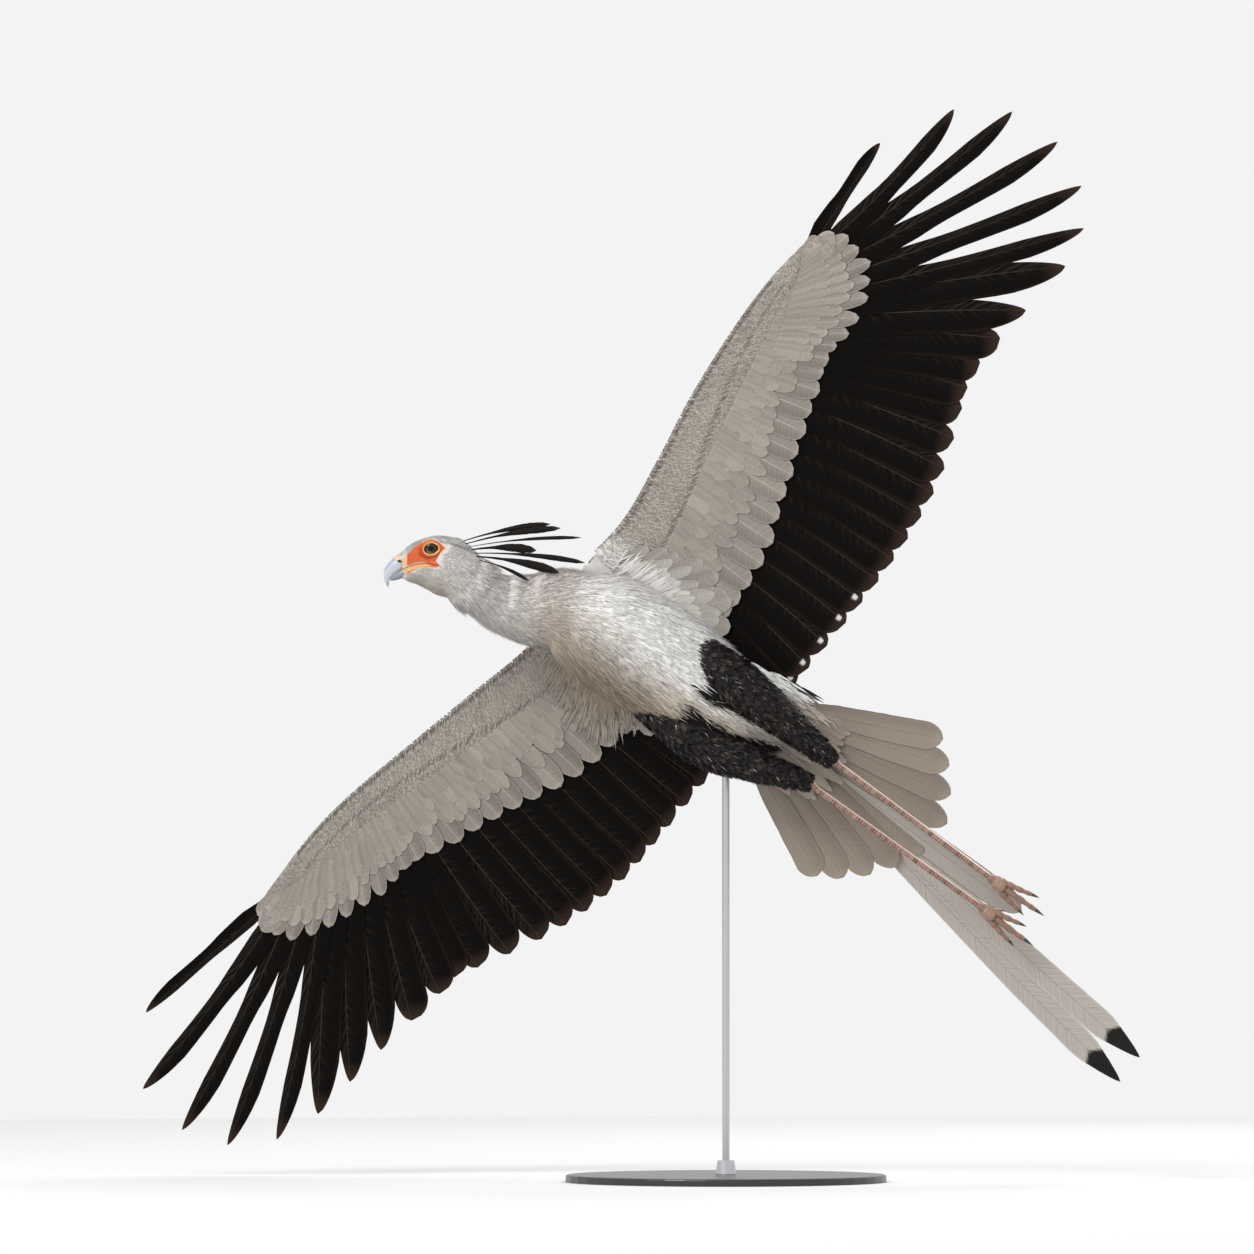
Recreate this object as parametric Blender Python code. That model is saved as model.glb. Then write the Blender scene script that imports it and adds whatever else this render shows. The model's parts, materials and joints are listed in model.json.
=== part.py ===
"""Secretary bird gliding in a bank, life size, held on a plain display stand.

The bird is modelled in its own frame, +X towards the bill, +Y towards its left wing and +Z
towards its back, in metres. One empty then banks it, and a second one carries the head. The
stand is modelled straight in the world, with the origin under the middle of its base.
"""
import math

import bmesh
import bpy
from mathutils import Matrix, Vector

# How the bird is held: its heading in the upright plane of the wings, its roll about its own
# spine, and where the point between its shoulders stands over the base.
HEADING = math.radians(142)
ROLL = math.radians(18)
SHOULDERS_AT = Vector((-0.191, 0.055, 0.927))

GAP = 0.0003
TRIM_GAP = 0.0004

# The wing's sheet: how it arches across the span and curves down behind its leading edge.
HALF_SPAN = 1.1
ARCH = 0.05
TIP_DROP = 0.03
CAMBER = 0.20
CAMBER_FRONT = 0.10

PRIMARIES = 10
SECONDARIES = 14


class Wing:
    """The planform of one wing, in metres forward of the shoulders and outward from the
    midline: smooth curves through a few stops, and the tip of each primary, innermost first.
    """

    def __init__(self, side, leading, ulna, hand, secondary_tips, primary_tips):
        self.side = side
        self.leading = leading
        self.ulna = ulna
        self.hand = hand
        self.secondary_tips = secondary_tips
        self.primary_tips = primary_tips


LEFT_WING = Wing(
    side=1,
    leading=(
        (0.060, 0.03), (0.066, 0.13), (0.085, 0.25), (0.105, 0.36),
        (0.119, 0.50), (0.120, 0.61), (0.105, 0.71),
    ),
    ulna=((-0.060, 0.13), (-0.005, 0.33), (0.050, 0.51)),
    hand=((0.055, 0.525), (0.080, 0.60), (0.098, 0.665)),
    secondary_tips=((-0.313, 0.105), (-0.316, 0.245), (-0.313, 0.385), (-0.291, 0.525), (-0.236, 0.668)),
    primary_tips=(
        (-0.227, 0.715), (-0.228, 0.770), (-0.233, 0.836), (-0.239, 0.940), (-0.225, 1.012),
        (-0.180, 1.067), (-0.106, 1.100), (-0.019, 1.091), (0.057, 1.030), (0.117, 0.903),
    ),
)
RIGHT_WING = Wing(
    side=-1,
    leading=(
        (0.055, 0.03), (0.065, 0.15), (0.090, 0.27), (0.119, 0.41),
        (0.147, 0.55), (0.156, 0.66), (0.148, 0.79),
    ),
    ulna=((-0.060, 0.12), (0.005, 0.34), (0.070, 0.54)),
    hand=((0.078, 0.560), (0.110, 0.65), (0.134, 0.735)),
    secondary_tips=((-0.297, 0.095), (-0.295, 0.235), (-0.288, 0.370), (-0.250, 0.510), (-0.172, 0.667)),
    primary_tips=(
        (-0.169, 0.705), (-0.160, 0.769), (-0.150, 0.839), (-0.142, 0.912), (-0.133, 0.986),
        (-0.106, 1.061), (-0.048, 1.119), (0.026, 1.146), (0.118, 1.133), (0.191, 1.032),
    ),
)

# How far the greater coverts reach along their flight feather, from the innermost secondary
# through the wrist to the outermost primary.
COVERT_REACH = (0.40, 0.40, 0.31, 0.27, 0.30, 0.23, 0.15)
UPPER_COVERTS_LONGER = 1.15

# How far a feather's shaft bends at its middle, towards the wing tip or, below zero, away.
FLIGHT_BOW = 0.005
FINGER_BOW = -0.012
FIRST_FINGER = 4

# Half widths of a feather's inner and outer vane, at the body or wrist and at the wing's tip.
INNER_VANE = (0.040, 0.028)
OUTER_VANE = (0.020, 0.011)
FINGER_INNER_VANE = (0.030, 0.022)
FINGER_OUTER_VANE = 0.013
COVERT_VANES = (0.020, 0.016)
FEATHER_ROLL = (0.060, 0.105)
COVERT_LIFT = (0.0045, 0.0040)

# The arm: where its flesh begins and ends, its thickness at the shoulder and at the tip, and its
# section as shares of the chord and parts of the thickness.
ARM_START = 0.035
ARM_STATIONS = 13
ARM_THICK = (0.017, 0.007)
ARM_SECTION = (
    (0.0, 0.0), (0.12, 0.62), (0.38, 1.0), (0.70, 0.72), (1.0, 0.35),
    (1.0, -0.35), (0.70, -0.62), (0.38, -0.78), (0.12, -0.55),
)
HAND_PAST_ROOTS = 0.03
FLESH_BEHIND_ROOTS = 0.030
HAND_NARROWS = 0.012

# The alula: three short quills on the wrist's front edge, as their length and how they turn back.
ALULA_LENGTHS = (0.115, 0.092, 0.070)
ALULA_TURN = (math.radians(16), math.radians(9))
ALULA_VANES = (0.011, 0.007)
ALULA_ROOT_STEP = 0.012
ALULA_INSET = 0.008
ALULA_LIFT = -0.003
COVERT_SHAFT = 0.0003

# The trunk, back to front: forward, sideways and upward place, half width and half height.
TORSO = (
    (-0.345, 0.022, -0.022, 0.036, 0.020),
    (-0.290, 0.018, -0.040, 0.062, 0.046),
    (-0.200, 0.011, -0.058, 0.084, 0.074),
    (-0.100, 0.003, -0.067, 0.095, 0.090),
    (-0.010, -0.008, -0.073, 0.090, 0.090),
    (0.060, -0.026, -0.080, 0.068, 0.070),
)
NECK = (
    (0.060, -0.026, -0.080, 0.068, 0.070),
    (0.105, -0.056, -0.088, 0.050, 0.051),
    (0.145, -0.072, -0.099, 0.043, 0.043),
    (0.178, -0.073, -0.107, 0.041, 0.042),
)
TRUNK_SIDES = 16
TRUNK_STATIONS = 11
NECK_STATIONS = 6

# Legs: hip, knee bulge, and ankle of the feathered part, with half widths.
THIGHS = {
    "left": (
        (-0.150, 0.058, -0.082, 0.034), (-0.236, 0.068, -0.094, 0.036), (-0.330, 0.067, -0.094, 0.027),
        (-0.405, 0.063, -0.090, 0.0155), (-0.428, 0.062, -0.089, 0.0115),
    ),
    "right": (
        (-0.130, -0.042, -0.082, 0.040), (-0.248, -0.050, -0.094, 0.035), (-0.330, -0.027, -0.094, 0.027),
        (-0.400, -0.002, -0.090, 0.0155), (-0.423, 0.006, -0.089, 0.0115),
    ),
}
ANKLES = {"left": Vector((-0.4285, 0.062, -0.089)), "right": Vector((-0.4235, 0.0062, -0.089))}
FEET = {"left": Vector((-0.764, 0.070, -0.087)), "right": Vector((-0.780, 0.021, -0.087))}
TARSUS_RADIUS = 0.0058
ANKLE_RADIUS = 0.0105
FOOT_RADIUS = 0.0105
SCUTES = 12
SCUTE_STEP = 0.0007
ANKLE_SWELL = 0.10
FOOT_SWELL = 0.07

# Feet: the pad as distance past the tarsus and half sizes, each toe as its length, how far it
# splays in degrees and its radius, and the hind toe's tip measured from its root.
PAD_RINGS = ((0.0, 0.0095, 0.0100), (0.012, 0.0105, 0.0085), (0.020, 0.0080, 0.0055))
TOES = {"inner": (0.062, 17, 0.0052), "middle": (0.084, 3, 0.0060), "outer": (0.058, -14, 0.0052)}
TOE_START = 0.009
TOE_APART = 0.012
TOE_IN_PAD = 0.006
TOE_RINGS = ((0.0, 1.0, 0.0), (0.45, 0.92, 0.003), (0.80, 0.62, 0.0))
CLAW_RINGS = ((0.0, 0.60), (0.5, 0.42), (1.0, 0.08))
CLAW_CURL = 0.003
HIND_TOE_ROOT = Vector((0.004, 0.003, 0.004))
HIND_TOE_REACH = Vector((-0.022, 0.006, 0.026))
HIND_TOE_RADIUS = 0.0042

# Tail: where it leaves the trunk, how far the fan opens and how long its feathers are.
TAIL_ROOT = Vector((-0.346, 0.022, -0.022))
FAN_STEP = math.radians(9.3)
FAN_PAIRS = 5
FAN_LENGTH = {"left": 0.318, "right": 0.300}
FAN_SHORTER = {"left": 0.0125, "right": 0.0150}
STREAMER_TIPS = (Vector((-1.125, -0.022)), Vector((-1.125, -0.076)))
LONG_SECOND_TIP = Vector((-0.829, 0.042))
TAIL_DROOP = 0.052
TAIL_FEATHER_INSET = 0.012
RUMP_RINGS = ((0.0004, 0.0355, 0.0195), (0.040, 0.031, 0.013), (0.085, 0.020, 0.005))
FAN_VANES = (0.025, 0.025)
FAN_ROOT_STEP = {"left": 0.0160, "right": 0.0190}
FAN_LAYER = 0.0022
FAN_LOW = 0.004
FAN_ROLL = 0.045
FAN_BOW = 0.003
STREAMER_VANES = (0.021, 0.021)
STREAMER_APART = 0.008
STREAMER_LIFT = 0.0085
STREAMER_LAYER = 0.003
STREAMER_ROLL = 0.02
STREAMER_BOW = 0.008
TAIL_COVERTS = 6
TAIL_COVERT_SPREAD = math.radians(24)
TAIL_COVERT_START = 0.030
TAIL_COVERT_ROOTS_OUT = 0.034
TAIL_COVERT_LENGTH = 0.095
TAIL_COVERT_VANES = (0.015, 0.015)
TAIL_COVERT_LIFT = 0.0105
TAIL_COVERT_SETTLE = 0.85

# Head, in its own frame: origin between the eyes, +X along the skull towards the bill.
HEAD_TILT = math.radians(8)
EYE_IN_WORLD = Vector((-0.4771, -0.028, 1.0256))
EYE_OUT = 0.0136
EYE_RADIUS = 0.0130
LID_RADIUS = 0.0126
LID_THICK = 0.0016
LID_OUT = 0.0205
NOSTRIL = Vector((0.0532, 0.0092, -0.0129))
NOSTRIL_RADIUS = 0.0026

# Head rings: centre forward and up, direction of the ring's normal, half width, half height.
HEAD_RINGS = (
    (-0.060, -0.068, 47, 0.040, 0.042),
    (-0.043, -0.050, 45, 0.037, 0.0435),
    (-0.020, -0.031, 37, 0.0305, 0.0475),
    (-0.003, -0.022, 33, 0.0262, 0.0450),
    (0.013, -0.0165, 29, 0.0232, 0.0410),
    (0.029, -0.0150, 24, 0.0180, 0.0350),
    (0.041, -0.0160, 18, 0.0135, 0.0285),
    (0.0495, -0.0185, 12, 0.0108, 0.0225),
)
HEAD_SIDES = 16

# Upper and lower bill, as rings down their own curve; both start on the head's front plane.
UPPER_BILL = (
    (0.0483, -0.0107, 12, 0.0098, 0.0141),
    (0.0595, -0.0160, 0, 0.0086, 0.0125),
    (0.0683, -0.0210, -10, 0.0072, 0.0106),
    (0.0743, -0.0268, -23, 0.0056, 0.0084),
    (0.0774, -0.0325, -37, 0.0044, 0.0069),
    (0.0786, -0.0393, -50, 0.0032, 0.0051),
    (0.0785, -0.0460, -67, 0.0018, 0.0025),
    (0.0775, -0.0512, -80, 0.0006, 0.0006),
)
LOWER_BILL = (
    (0.0529, -0.0327, 12, 0.0088, 0.0073),
    (0.0600, -0.0359, 0, 0.0072, 0.0051),
    (0.0668, -0.0370, 0, 0.0050, 0.0038),
    (0.0710, -0.0380, 0, 0.0022, 0.0018),
)
BILL_SIDES = 10
MOUTH = ((0.0560, -0.0256), (0.0340, -0.0222), (0.0130, -0.0222), (-0.0086, -0.0286))
MOUTH_THICK = 0.0010
MOUTH_WIDE = 0.08

# Crest feathers: where each tip lies behind and above the eyes, and how wide its blade is.
CREST_TIPS = (
    (-0.196, 0.013, 0.0050), (-0.212, 0.004, 0.0055), (-0.243, -0.016, 0.0030), (-0.168, -0.0265, 0.0070),
    (-0.243, -0.057, 0.0045), (-0.200, -0.067, 0.0070), (-0.150, -0.074, 0.0030),
)
CREST_ROOT_DEPTH = 0.94
CREST_SPREAD = (math.radians(8), math.radians(34))
CREST_TIP_OUT = (0.012, 0.032)
CREST_SAG = 0.006
FAR_CREST = (0, 2, 4, 5)

# Stand.
BASE_RADIUS = 0.26
BASE_THICK = 0.012
BASE_BEVEL = 0.003
ROD_RADIUS = 0.006
ROD_PLACE = Vector((0.0, 0.030))
ROD_TOP = 0.765
BOSS_RADIUS = 0.017
BOSS_HEIGHT = 0.022

COLOURS = {
    "down_white": (0.62, 0.59, 0.56),
    "flight_black": (0.018, 0.015, 0.014),
    "tail_grey": (0.42, 0.39, 0.36),
    "thigh_black": (0.016, 0.014, 0.013),
    "leg_pink": (0.62, 0.42, 0.36),
    "face_orange": (0.75, 0.22, 0.06),
    "bill_grey": (0.42, 0.47, 0.55),
    "claw_black": (0.02, 0.02, 0.02),
    "eye_brown": (0.05, 0.03, 0.015),
    "stand_steel": (0.55, 0.56, 0.58),
    "stand_base": (0.03, 0.03, 0.032),
}
METALLIC = {"stand_steel": 1.0}
ROUGHNESS = {"stand_steel": 0.3, "bill_grey": 0.35, "eye_brown": 0.08, "claw_black": 0.3}


def clear_scene():
    for obj in list(bpy.data.objects):
        bpy.data.objects.remove(obj)


def material(name):
    found = bpy.data.materials.get(name)
    if found:
        return found
    made = bpy.data.materials.new(name)
    made.use_nodes = True
    shader = made.node_tree.nodes["Principled BSDF"]
    shader.inputs["Base Color"].default_value = (*COLOURS[name], 1)
    shader.inputs["Metallic"].default_value = METALLIC.get(name, 0.0)
    shader.inputs["Roughness"].default_value = ROUGHNESS.get(name, 0.7)
    return made


def object_from(bm, name, collection, finish=None, parent=None):
    """A mesh object from a bmesh, its faces pointing out, shaded smooth where it turns gently."""
    bmesh.ops.recalc_face_normals(bm, faces=bm.faces)
    mesh = bpy.data.meshes.new(name)
    bm.to_mesh(mesh)
    bm.free()
    mesh.shade_smooth()
    mesh.set_sharp_from_angle(angle=math.radians(40))
    obj = bpy.data.objects.new(name, mesh)
    collection.objects.link(obj)
    if finish:
        mesh.materials.append(material(finish))
    if parent:
        obj.parent = parent
    return obj


def between(stops, share):
    """A point at share 0 to 1 along a smooth curve through evenly spaced stops."""
    at = share * (len(stops) - 1)
    index = min(int(at), len(stops) - 2)
    t = at - index
    here = [Vector(stops[max(0, min(len(stops) - 1, index + step))]) for step in (-1, 0, 1, 2)]
    before, start, end, after = here
    return 0.5 * (
        2 * start
        + t * (end - before)
        + t * t * (2 * before - 5 * start + 4 * end - after)
        + t ** 3 * (3 * start - before - 3 * end + after)
    )


def stepped(values, share):
    """The value at share 0 to 1 along evenly spaced values, with straight runs between."""
    at = share * (len(values) - 1)
    index = min(int(at), len(values) - 2)
    return values[index] + (values[index + 1] - values[index]) * (at - index)


def leading_edge(wing, out):
    """How far forward the wing's leading edge is at a distance from the midline."""
    low, high = 0.0, 1.0
    for _ in range(24):
        middle = (low + high) / 2
        if between(wing.leading, middle)[1] < out:
            low = middle
        else:
            high = middle
    return between(wing.leading, low)[0]


def rise(forward, out):
    """Height of the wing's sheet over the plane through both shoulders."""
    across = abs(out) / HALF_SPAN
    behind = min(0.0, forward - CAMBER_FRONT)
    return ARCH * math.sin(math.pi * across) - TIP_DROP * across ** 2 - CAMBER * behind ** 2


def loft(rings):
    """A closed tube through rings of equally many points."""
    bm = bmesh.new()
    rows = [[bm.verts.new(point) for point in ring] for ring in rings]
    for lower, upper in zip(rows, rows[1:]):
        for i, corner in enumerate(lower):
            j = (i + 1) % len(lower)
            bm.faces.new((corner, lower[j], upper[j], upper[i]))
    bm.faces.new(list(reversed(rows[0])))
    bm.faces.new(rows[-1])
    return bm


def ring(centre, along, half_width, half_height, sides, up=Vector((0, 0, 1))):
    """An oval of points round centre, square to along, its height nearest to up."""
    across = up.cross(along).normalized()
    upward = along.cross(across).normalized()
    points = []
    for i in range(sides):
        turn = 2 * math.pi * (i + 0.5) / sides
        wide = half_width * math.cos(turn)
        high = half_height * math.sin(turn)
        points.append(centre + across * wide + upward * high)
    return points


def tube_rings(stops, stations, sides):
    """Rings along a smooth curve whose stops hold a place and one or two half widths."""
    rings = []
    for i in range(stations):
        share = i / (stations - 1)
        here = between(stops, share)
        ahead = between(stops, min(1.0, share + 0.01))
        behind = between(stops, max(0.0, share - 0.01))
        along = Vector(ahead[:3]) - Vector(behind[:3])
        rings.append(ring(Vector(here[:3]), along.normalized(), here[3], here[-1], sides))
    return rings


# A feather's outline: half width at shares of its length, as parts of its widest.
ROWS = {
    "flight": (0.0, 0.35, 0.75, 0.93, 1.0),
    "finger": (0.0, 0.30, 0.58, 0.86, 1.0),
    "covert": (0.0, 0.72, 1.0),
    "crest": (0.0, 0.45, 0.68, 0.86, 1.0),
}
WIDTHS = {
    "flight": (0.66, 0.96, 1.0, 0.72, 0.16),
    "finger": (0.45, 1.0, 0.78, 0.46, 0.05),
    "covert": (0.80, 1.0, 0.22),
    "crest": (0.22, 0.30, 0.80, 1.0, 0.20),
}


def vane(kind, place, half_widths, shaft, thickness):
    """One feather: a grid laid by place(share, sideways), thickened, with a raised shaft.

    place gives a point and the outward normal there; half_widths are for the side the grid
    calls -1 and the one it calls +1.
    """
    rows = ROWS[kind]
    bm = bmesh.new()
    bmesh.ops.create_grid(bm, x_segments=2, y_segments=len(rows) - 1, size=0.5)
    spots = {}
    for vert in bm.verts:
        side = round(vert.co.x * 2)
        row = round((vert.co.y + 0.5) * (len(rows) - 1))
        wide = WIDTHS[kind][row] * half_widths[0 if side < 0 else 1]
        point, normal = place(rows[row], side * wide)
        thick = thickness / 2
        if side == 0:
            thick += shaft * (1 - 0.8 * rows[row])
        spots[vert] = (point, normal, thick)
    bmesh.ops.triangulate(bm, faces=bm.faces)
    lower = list(spots)
    grown = bmesh.ops.extrude_face_region(bm, geom=bm.faces[:], use_keep_orig=True)
    upper = [v for v in grown["geom"] if isinstance(v, bmesh.types.BMVert)]
    by_place = {tuple(round(x, 6) for x in v.co): v for v in upper}
    pairs = [(v, by_place[tuple(round(x, 6) for x in v.co)]) for v in lower]
    for vert, twin in pairs:
        point, normal, thick = spots[vert]
        twin.co = point + normal * thick
        vert.co = point - normal * thick
    return bm


def flat_vane(kind, root, tip, bow, half_widths, roll, lift, surface, side=1, shaft=0.0009, thickness=0.0007):
    """A feather laid on a sheet: surface(forward, out) is the sheet's height, lift its height
    over the sheet at root and tip, roll how far its outer edge tilts up."""
    line = tip - root
    across = Vector((-line.y, line.x)).normalized()
    if across.y < 0:
        across = -across

    def place(share, sideways):
        bend = across * (bow * 4 * share * (1 - share))
        flat = root + line * share + bend + across * sideways
        height = surface(flat.x, flat.y) + lift[0] + (lift[1] - lift[0]) * share + roll * sideways
        return Vector((flat.x, side * flat.y, height)), Vector((0, 0, 1))

    return vane(kind, place, half_widths, shaft, thickness)


def fused(name, pieces, collection, finish, parent, cutters=()):
    """One node from closed pieces: a union, then the cuts, then its largest closed surface."""
    parts = bpy.data.collections.new(name + "_pieces")
    bpy.context.scene.collection.children.link(parts)
    first, *rest = pieces
    whole = object_from(first, name, collection, finish, parent)
    for i, piece in enumerate(rest):
        object_from(piece, f"{name}_piece_{i}", parts, None, parent)
    if rest:
        join = whole.modifiers.new("join", "BOOLEAN")
        join.operation = "UNION"
        join.solver = "MANIFOLD"
        join.operand_type = "COLLECTION"
        join.collection = parts
    for cutter in cutters:
        cut = whole.modifiers.new("cut", "BOOLEAN")
        cut.operation = "DIFFERENCE"
        cut.solver = "MANIFOLD"
        cut.object = cutter
    bpy.context.view_layer.update()
    graph = bpy.context.evaluated_depsgraph_get()
    mesh = bpy.data.meshes.new_from_object(whole.evaluated_get(graph))
    whole.modifiers.clear()
    whole.data = mesh
    for obj in list(parts.objects):
        bpy.data.objects.remove(obj)
    bpy.data.collections.remove(parts)
    keep_largest(mesh)
    return whole


def keep_largest(mesh):
    """Keeps the largest closed surface of a mesh and drops loose scraps and sealed hollows."""
    bm = bmesh.new()
    bm.from_mesh(mesh)
    bmesh.ops.triangulate(bm, faces=bm.faces)
    left = set(bm.verts)
    groups = []
    while left:
        group, edge_of = set(), [left.pop()]
        while edge_of:
            vert = edge_of.pop()
            group.add(vert)
            for edge in vert.link_edges:
                other = edge.other_vert(vert)
                if other in left:
                    left.discard(other)
                    edge_of.append(other)
        groups.append(group)

    def volume(group):
        faces = {face for vert in group for face in vert.link_faces}
        total = 0.0
        for face in faces:
            a, b, c = (v.co for v in face.verts)
            total += a.dot(b.cross(c)) / 6
        return total

    largest = max(groups, key=volume)
    bmesh.ops.delete(bm, geom=[v for v in bm.verts if v not in largest], context="VERTS")
    bm.to_mesh(mesh)
    bm.free()


def cutter_from(bm, name, cutters, parent=None):
    """A shape that only cuts others: kept in the cutters' collection and never rendered."""
    cutter = object_from(bm, name, cutters, None, parent)
    cutter.hide_render = True
    cutter.display_type = "WIRE"
    return cutter


def grown_copy(obj, name, by, cutters):
    """A cutter that is a piece's own shape, larger by a small gap all round."""
    bm = bmesh.new()
    bm.from_mesh(obj.data)
    bm.normal_update()
    moves = [(v, v.co + v.normal * by) for v in bm.verts]
    for vert, spot in moves:
        vert.co = spot
    return cutter_from(bm, name, cutters, obj.parent)


def turned_to_match(points, others):
    """The same ring of points, begun where it lies closest to another ring."""
    turns = [points[start:] + points[:start] for start in range(len(points))]
    return min(turns, key=lambda turn: sum((a - b).length for a, b in zip(turn, others)))


def trunk(collection, cutters, pose, skull):
    """Torso and neck: one smooth tube with a thin gap where the neck leaves the breast, and
    another where the head begins."""
    socket = rod_cutter(cutters)
    torso = fused(
        "torso",
        [loft(tube_rings(TORSO, TRUNK_STATIONS, TRUNK_SIDES))],
        collection, "down_white", pose, [socket],
    )
    rings = tube_rings(NECK, NECK_STATIONS, TRUNK_SIDES)
    first = between(NECK, 0.0)
    ahead = between(NECK, 0.01)
    step = (Vector(ahead[:3]) - Vector(first[:3])).normalized() * TRIM_GAP
    rings[0] = [point + step for point in tube_rings(TORSO, TRUNK_STATIONS, TRUNK_SIDES)[-1]]
    to_bird = pose.matrix_world.inverted() @ skull.matrix_world
    pitch = math.radians(HEAD_RINGS[0][2])
    nape_step = TRIM_GAP * Vector((math.cos(pitch), 0, math.sin(pitch)))
    nape = [to_bird @ (point - nape_step) for point in profile_rings(HEAD_RINGS[:1], HEAD_SIDES)[0]]
    rings.append(turned_to_match(nape, rings[-1]))
    neck = object_from(loft(rings), "neck", collection, "down_white", pose)
    return torso, neck


def rod_cutter(cutters):
    """The socket in the belly that takes the rod's upper end."""
    depth = 0.4
    middle = ROD_TOP + GAP - depth / 2
    bm = upright_cylinder(ROD_RADIUS + 2 * GAP, depth, (*ROD_PLACE, middle), 16)
    return cutter_from(bm, "rod_socket", cutters)


def upright_cylinder(radius, depth, centre, segments, top_radius=None):
    bm = bmesh.new()
    bmesh.ops.create_cone(
        bm, cap_ends=True, segments=segments, radius1=radius, radius2=top_radius or radius, depth=depth,
        matrix=Matrix.Translation(centre),
    )
    return bm


def profile_rings(rings, sides):
    """Rings in the head's frame from rows of forward, up, pitch in degrees and half sizes."""
    made = []
    for forward, up, pitch, wide, high in rings:
        turn = math.radians(pitch)
        along = Vector((math.cos(turn), 0, math.sin(turn)))
        made.append(ring(Vector((forward, 0, up)), along, wide, high, sides, Vector((-along.z, 0, along.x))))
    return made


def ball(radius, centre, stretch=(1, 1, 1), segments=14, rings=8):
    bm = bmesh.new()
    bmesh.ops.create_uvsphere(bm, u_segments=segments, v_segments=rings, radius=radius)
    bmesh.ops.scale(bm, vec=stretch, verts=bm.verts)
    bmesh.ops.translate(bm, vec=centre, verts=bm.verts)
    return bm


def lid(side):
    """The rim of skin round one eye: a ring that stands a little off the head."""
    bm = bmesh.new()
    turn = Matrix.Rotation(math.radians(90), 4, "X")
    bmesh.ops.create_circle(bm, cap_ends=False, radius=LID_THICK, segments=5,
                            matrix=Matrix.Translation((LID_RADIUS, 0, 0)) @ turn)
    bmesh.ops.spin(bm, geom=bm.edges[:] + bm.verts[:], cent=(0, 0, 0), axis=(0, 0, 1),
                   angle=2 * math.pi, steps=14, use_merge=True)
    bmesh.ops.remove_doubles(bm, verts=bm.verts, dist=1e-5)
    bmesh.ops.transform(bm, matrix=Matrix.Translation((0, side * LID_OUT, 0)) @ turn, verts=bm.verts)
    return bm


def mouth_cutter(cutters, pose):
    """The line of the mouth: a thin curved slab from the bill's base back to the gape."""
    bm = bmesh.new()
    bmesh.ops.create_grid(bm, x_segments=1, y_segments=8, size=0.5)
    for vert in bm.verts:
        share = vert.co.y + 0.5
        spot = between(MOUTH, share)
        vert.co = Vector((spot[0], vert.co.x * MOUTH_WIDE, spot[1] - MOUTH_THICK / 2))
    grown = bmesh.ops.extrude_face_region(bm, geom=bm.faces[:], use_keep_orig=True)
    top = [v for v in grown["geom"] if isinstance(v, bmesh.types.BMVert)]
    bmesh.ops.translate(bm, vec=(0, 0, MOUTH_THICK), verts=top)
    return cutter_from(bm, "mouth_line", cutters, pose)


def crest_feather(index, side):
    """A thin stalk from the nape that widens to a blade near its end."""
    back, up, half_width = CREST_TIPS[index]
    share = index / (len(CREST_TIPS) - 1)
    upper, lower = HEAD_RINGS[2], HEAD_RINGS[1]
    forward, height, pitch, wide, high = (a + (b - a) * share for a, b in zip(upper, lower))
    pitch = math.radians(pitch)
    around = stepped(CREST_SPREAD, share)
    reach = CREST_ROOT_DEPTH * high * math.cos(around)
    root = Vector((
        forward - math.sin(pitch) * reach,
        side * CREST_ROOT_DEPTH * wide * math.sin(around),
        height + math.cos(pitch) * reach,
    ))
    tip = Vector((back, side * stepped(CREST_TIP_OUT, share), up))
    line = tip - root
    across = line.cross(Vector((0, 1, 0))).normalized()
    normal = across.cross(line).normalized()

    def place(share_along, sideways):
        sag = across * (-CREST_SAG * math.sin(math.pi * share_along))
        return root + line * share_along + sag + across * sideways, normal

    return vane("crest", place, (half_width, half_width), 0.0004, 0.0007)


def head(collection, cutters, pose):
    """Skull, lids and crest as one node, with the eyes and both halves of the bill."""
    core = loft(profile_rings(HEAD_RINGS, HEAD_SIDES))
    pieces = [core, lid(1), lid(-1)]
    for side in (1, -1):
        for index in range(len(CREST_TIPS)):
            if side < 0 and index not in FAR_CREST:
                continue
            pieces.append(crest_feather(index, side))
    cuts = [mouth_cutter(cutters, pose)]
    for side in (1, -1):
        name = "left" if side > 0 else "right"
        socket = ball(EYE_RADIUS + GAP, (0, side * EYE_OUT, 0))
        cuts.append(cutter_from(socket, f"socket_{name}", cutters, pose))
        eye = ball(EYE_RADIUS, (0, side * EYE_OUT, 0))
        object_from(eye, f"eye_{name}", collection, "eye_brown", pose)
    fused("head", pieces, collection, "face_orange", pose, cuts)
    nostrils = []
    for side in (1, -1):
        hole = ball(NOSTRIL_RADIUS, (0, 0, 0), (1.4, 1.0, 0.7), 8, 6)
        bmesh.ops.translate(hole, vec=(NOSTRIL.x, side * NOSTRIL.y, NOSTRIL.z), verts=hole.verts)
        nostrils.append(cutter_from(hole, "nostril_left" if side > 0 else "nostril_right", cutters, pose))
    upper = [loft(profile_rings(UPPER_BILL, BILL_SIDES))]
    fused("bill_upper", upper, collection, "bill_grey", pose, nostrils)
    object_from(loft(profile_rings(LOWER_BILL, BILL_SIDES)), "bill_lower", collection, "bill_grey", pose)


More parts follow.
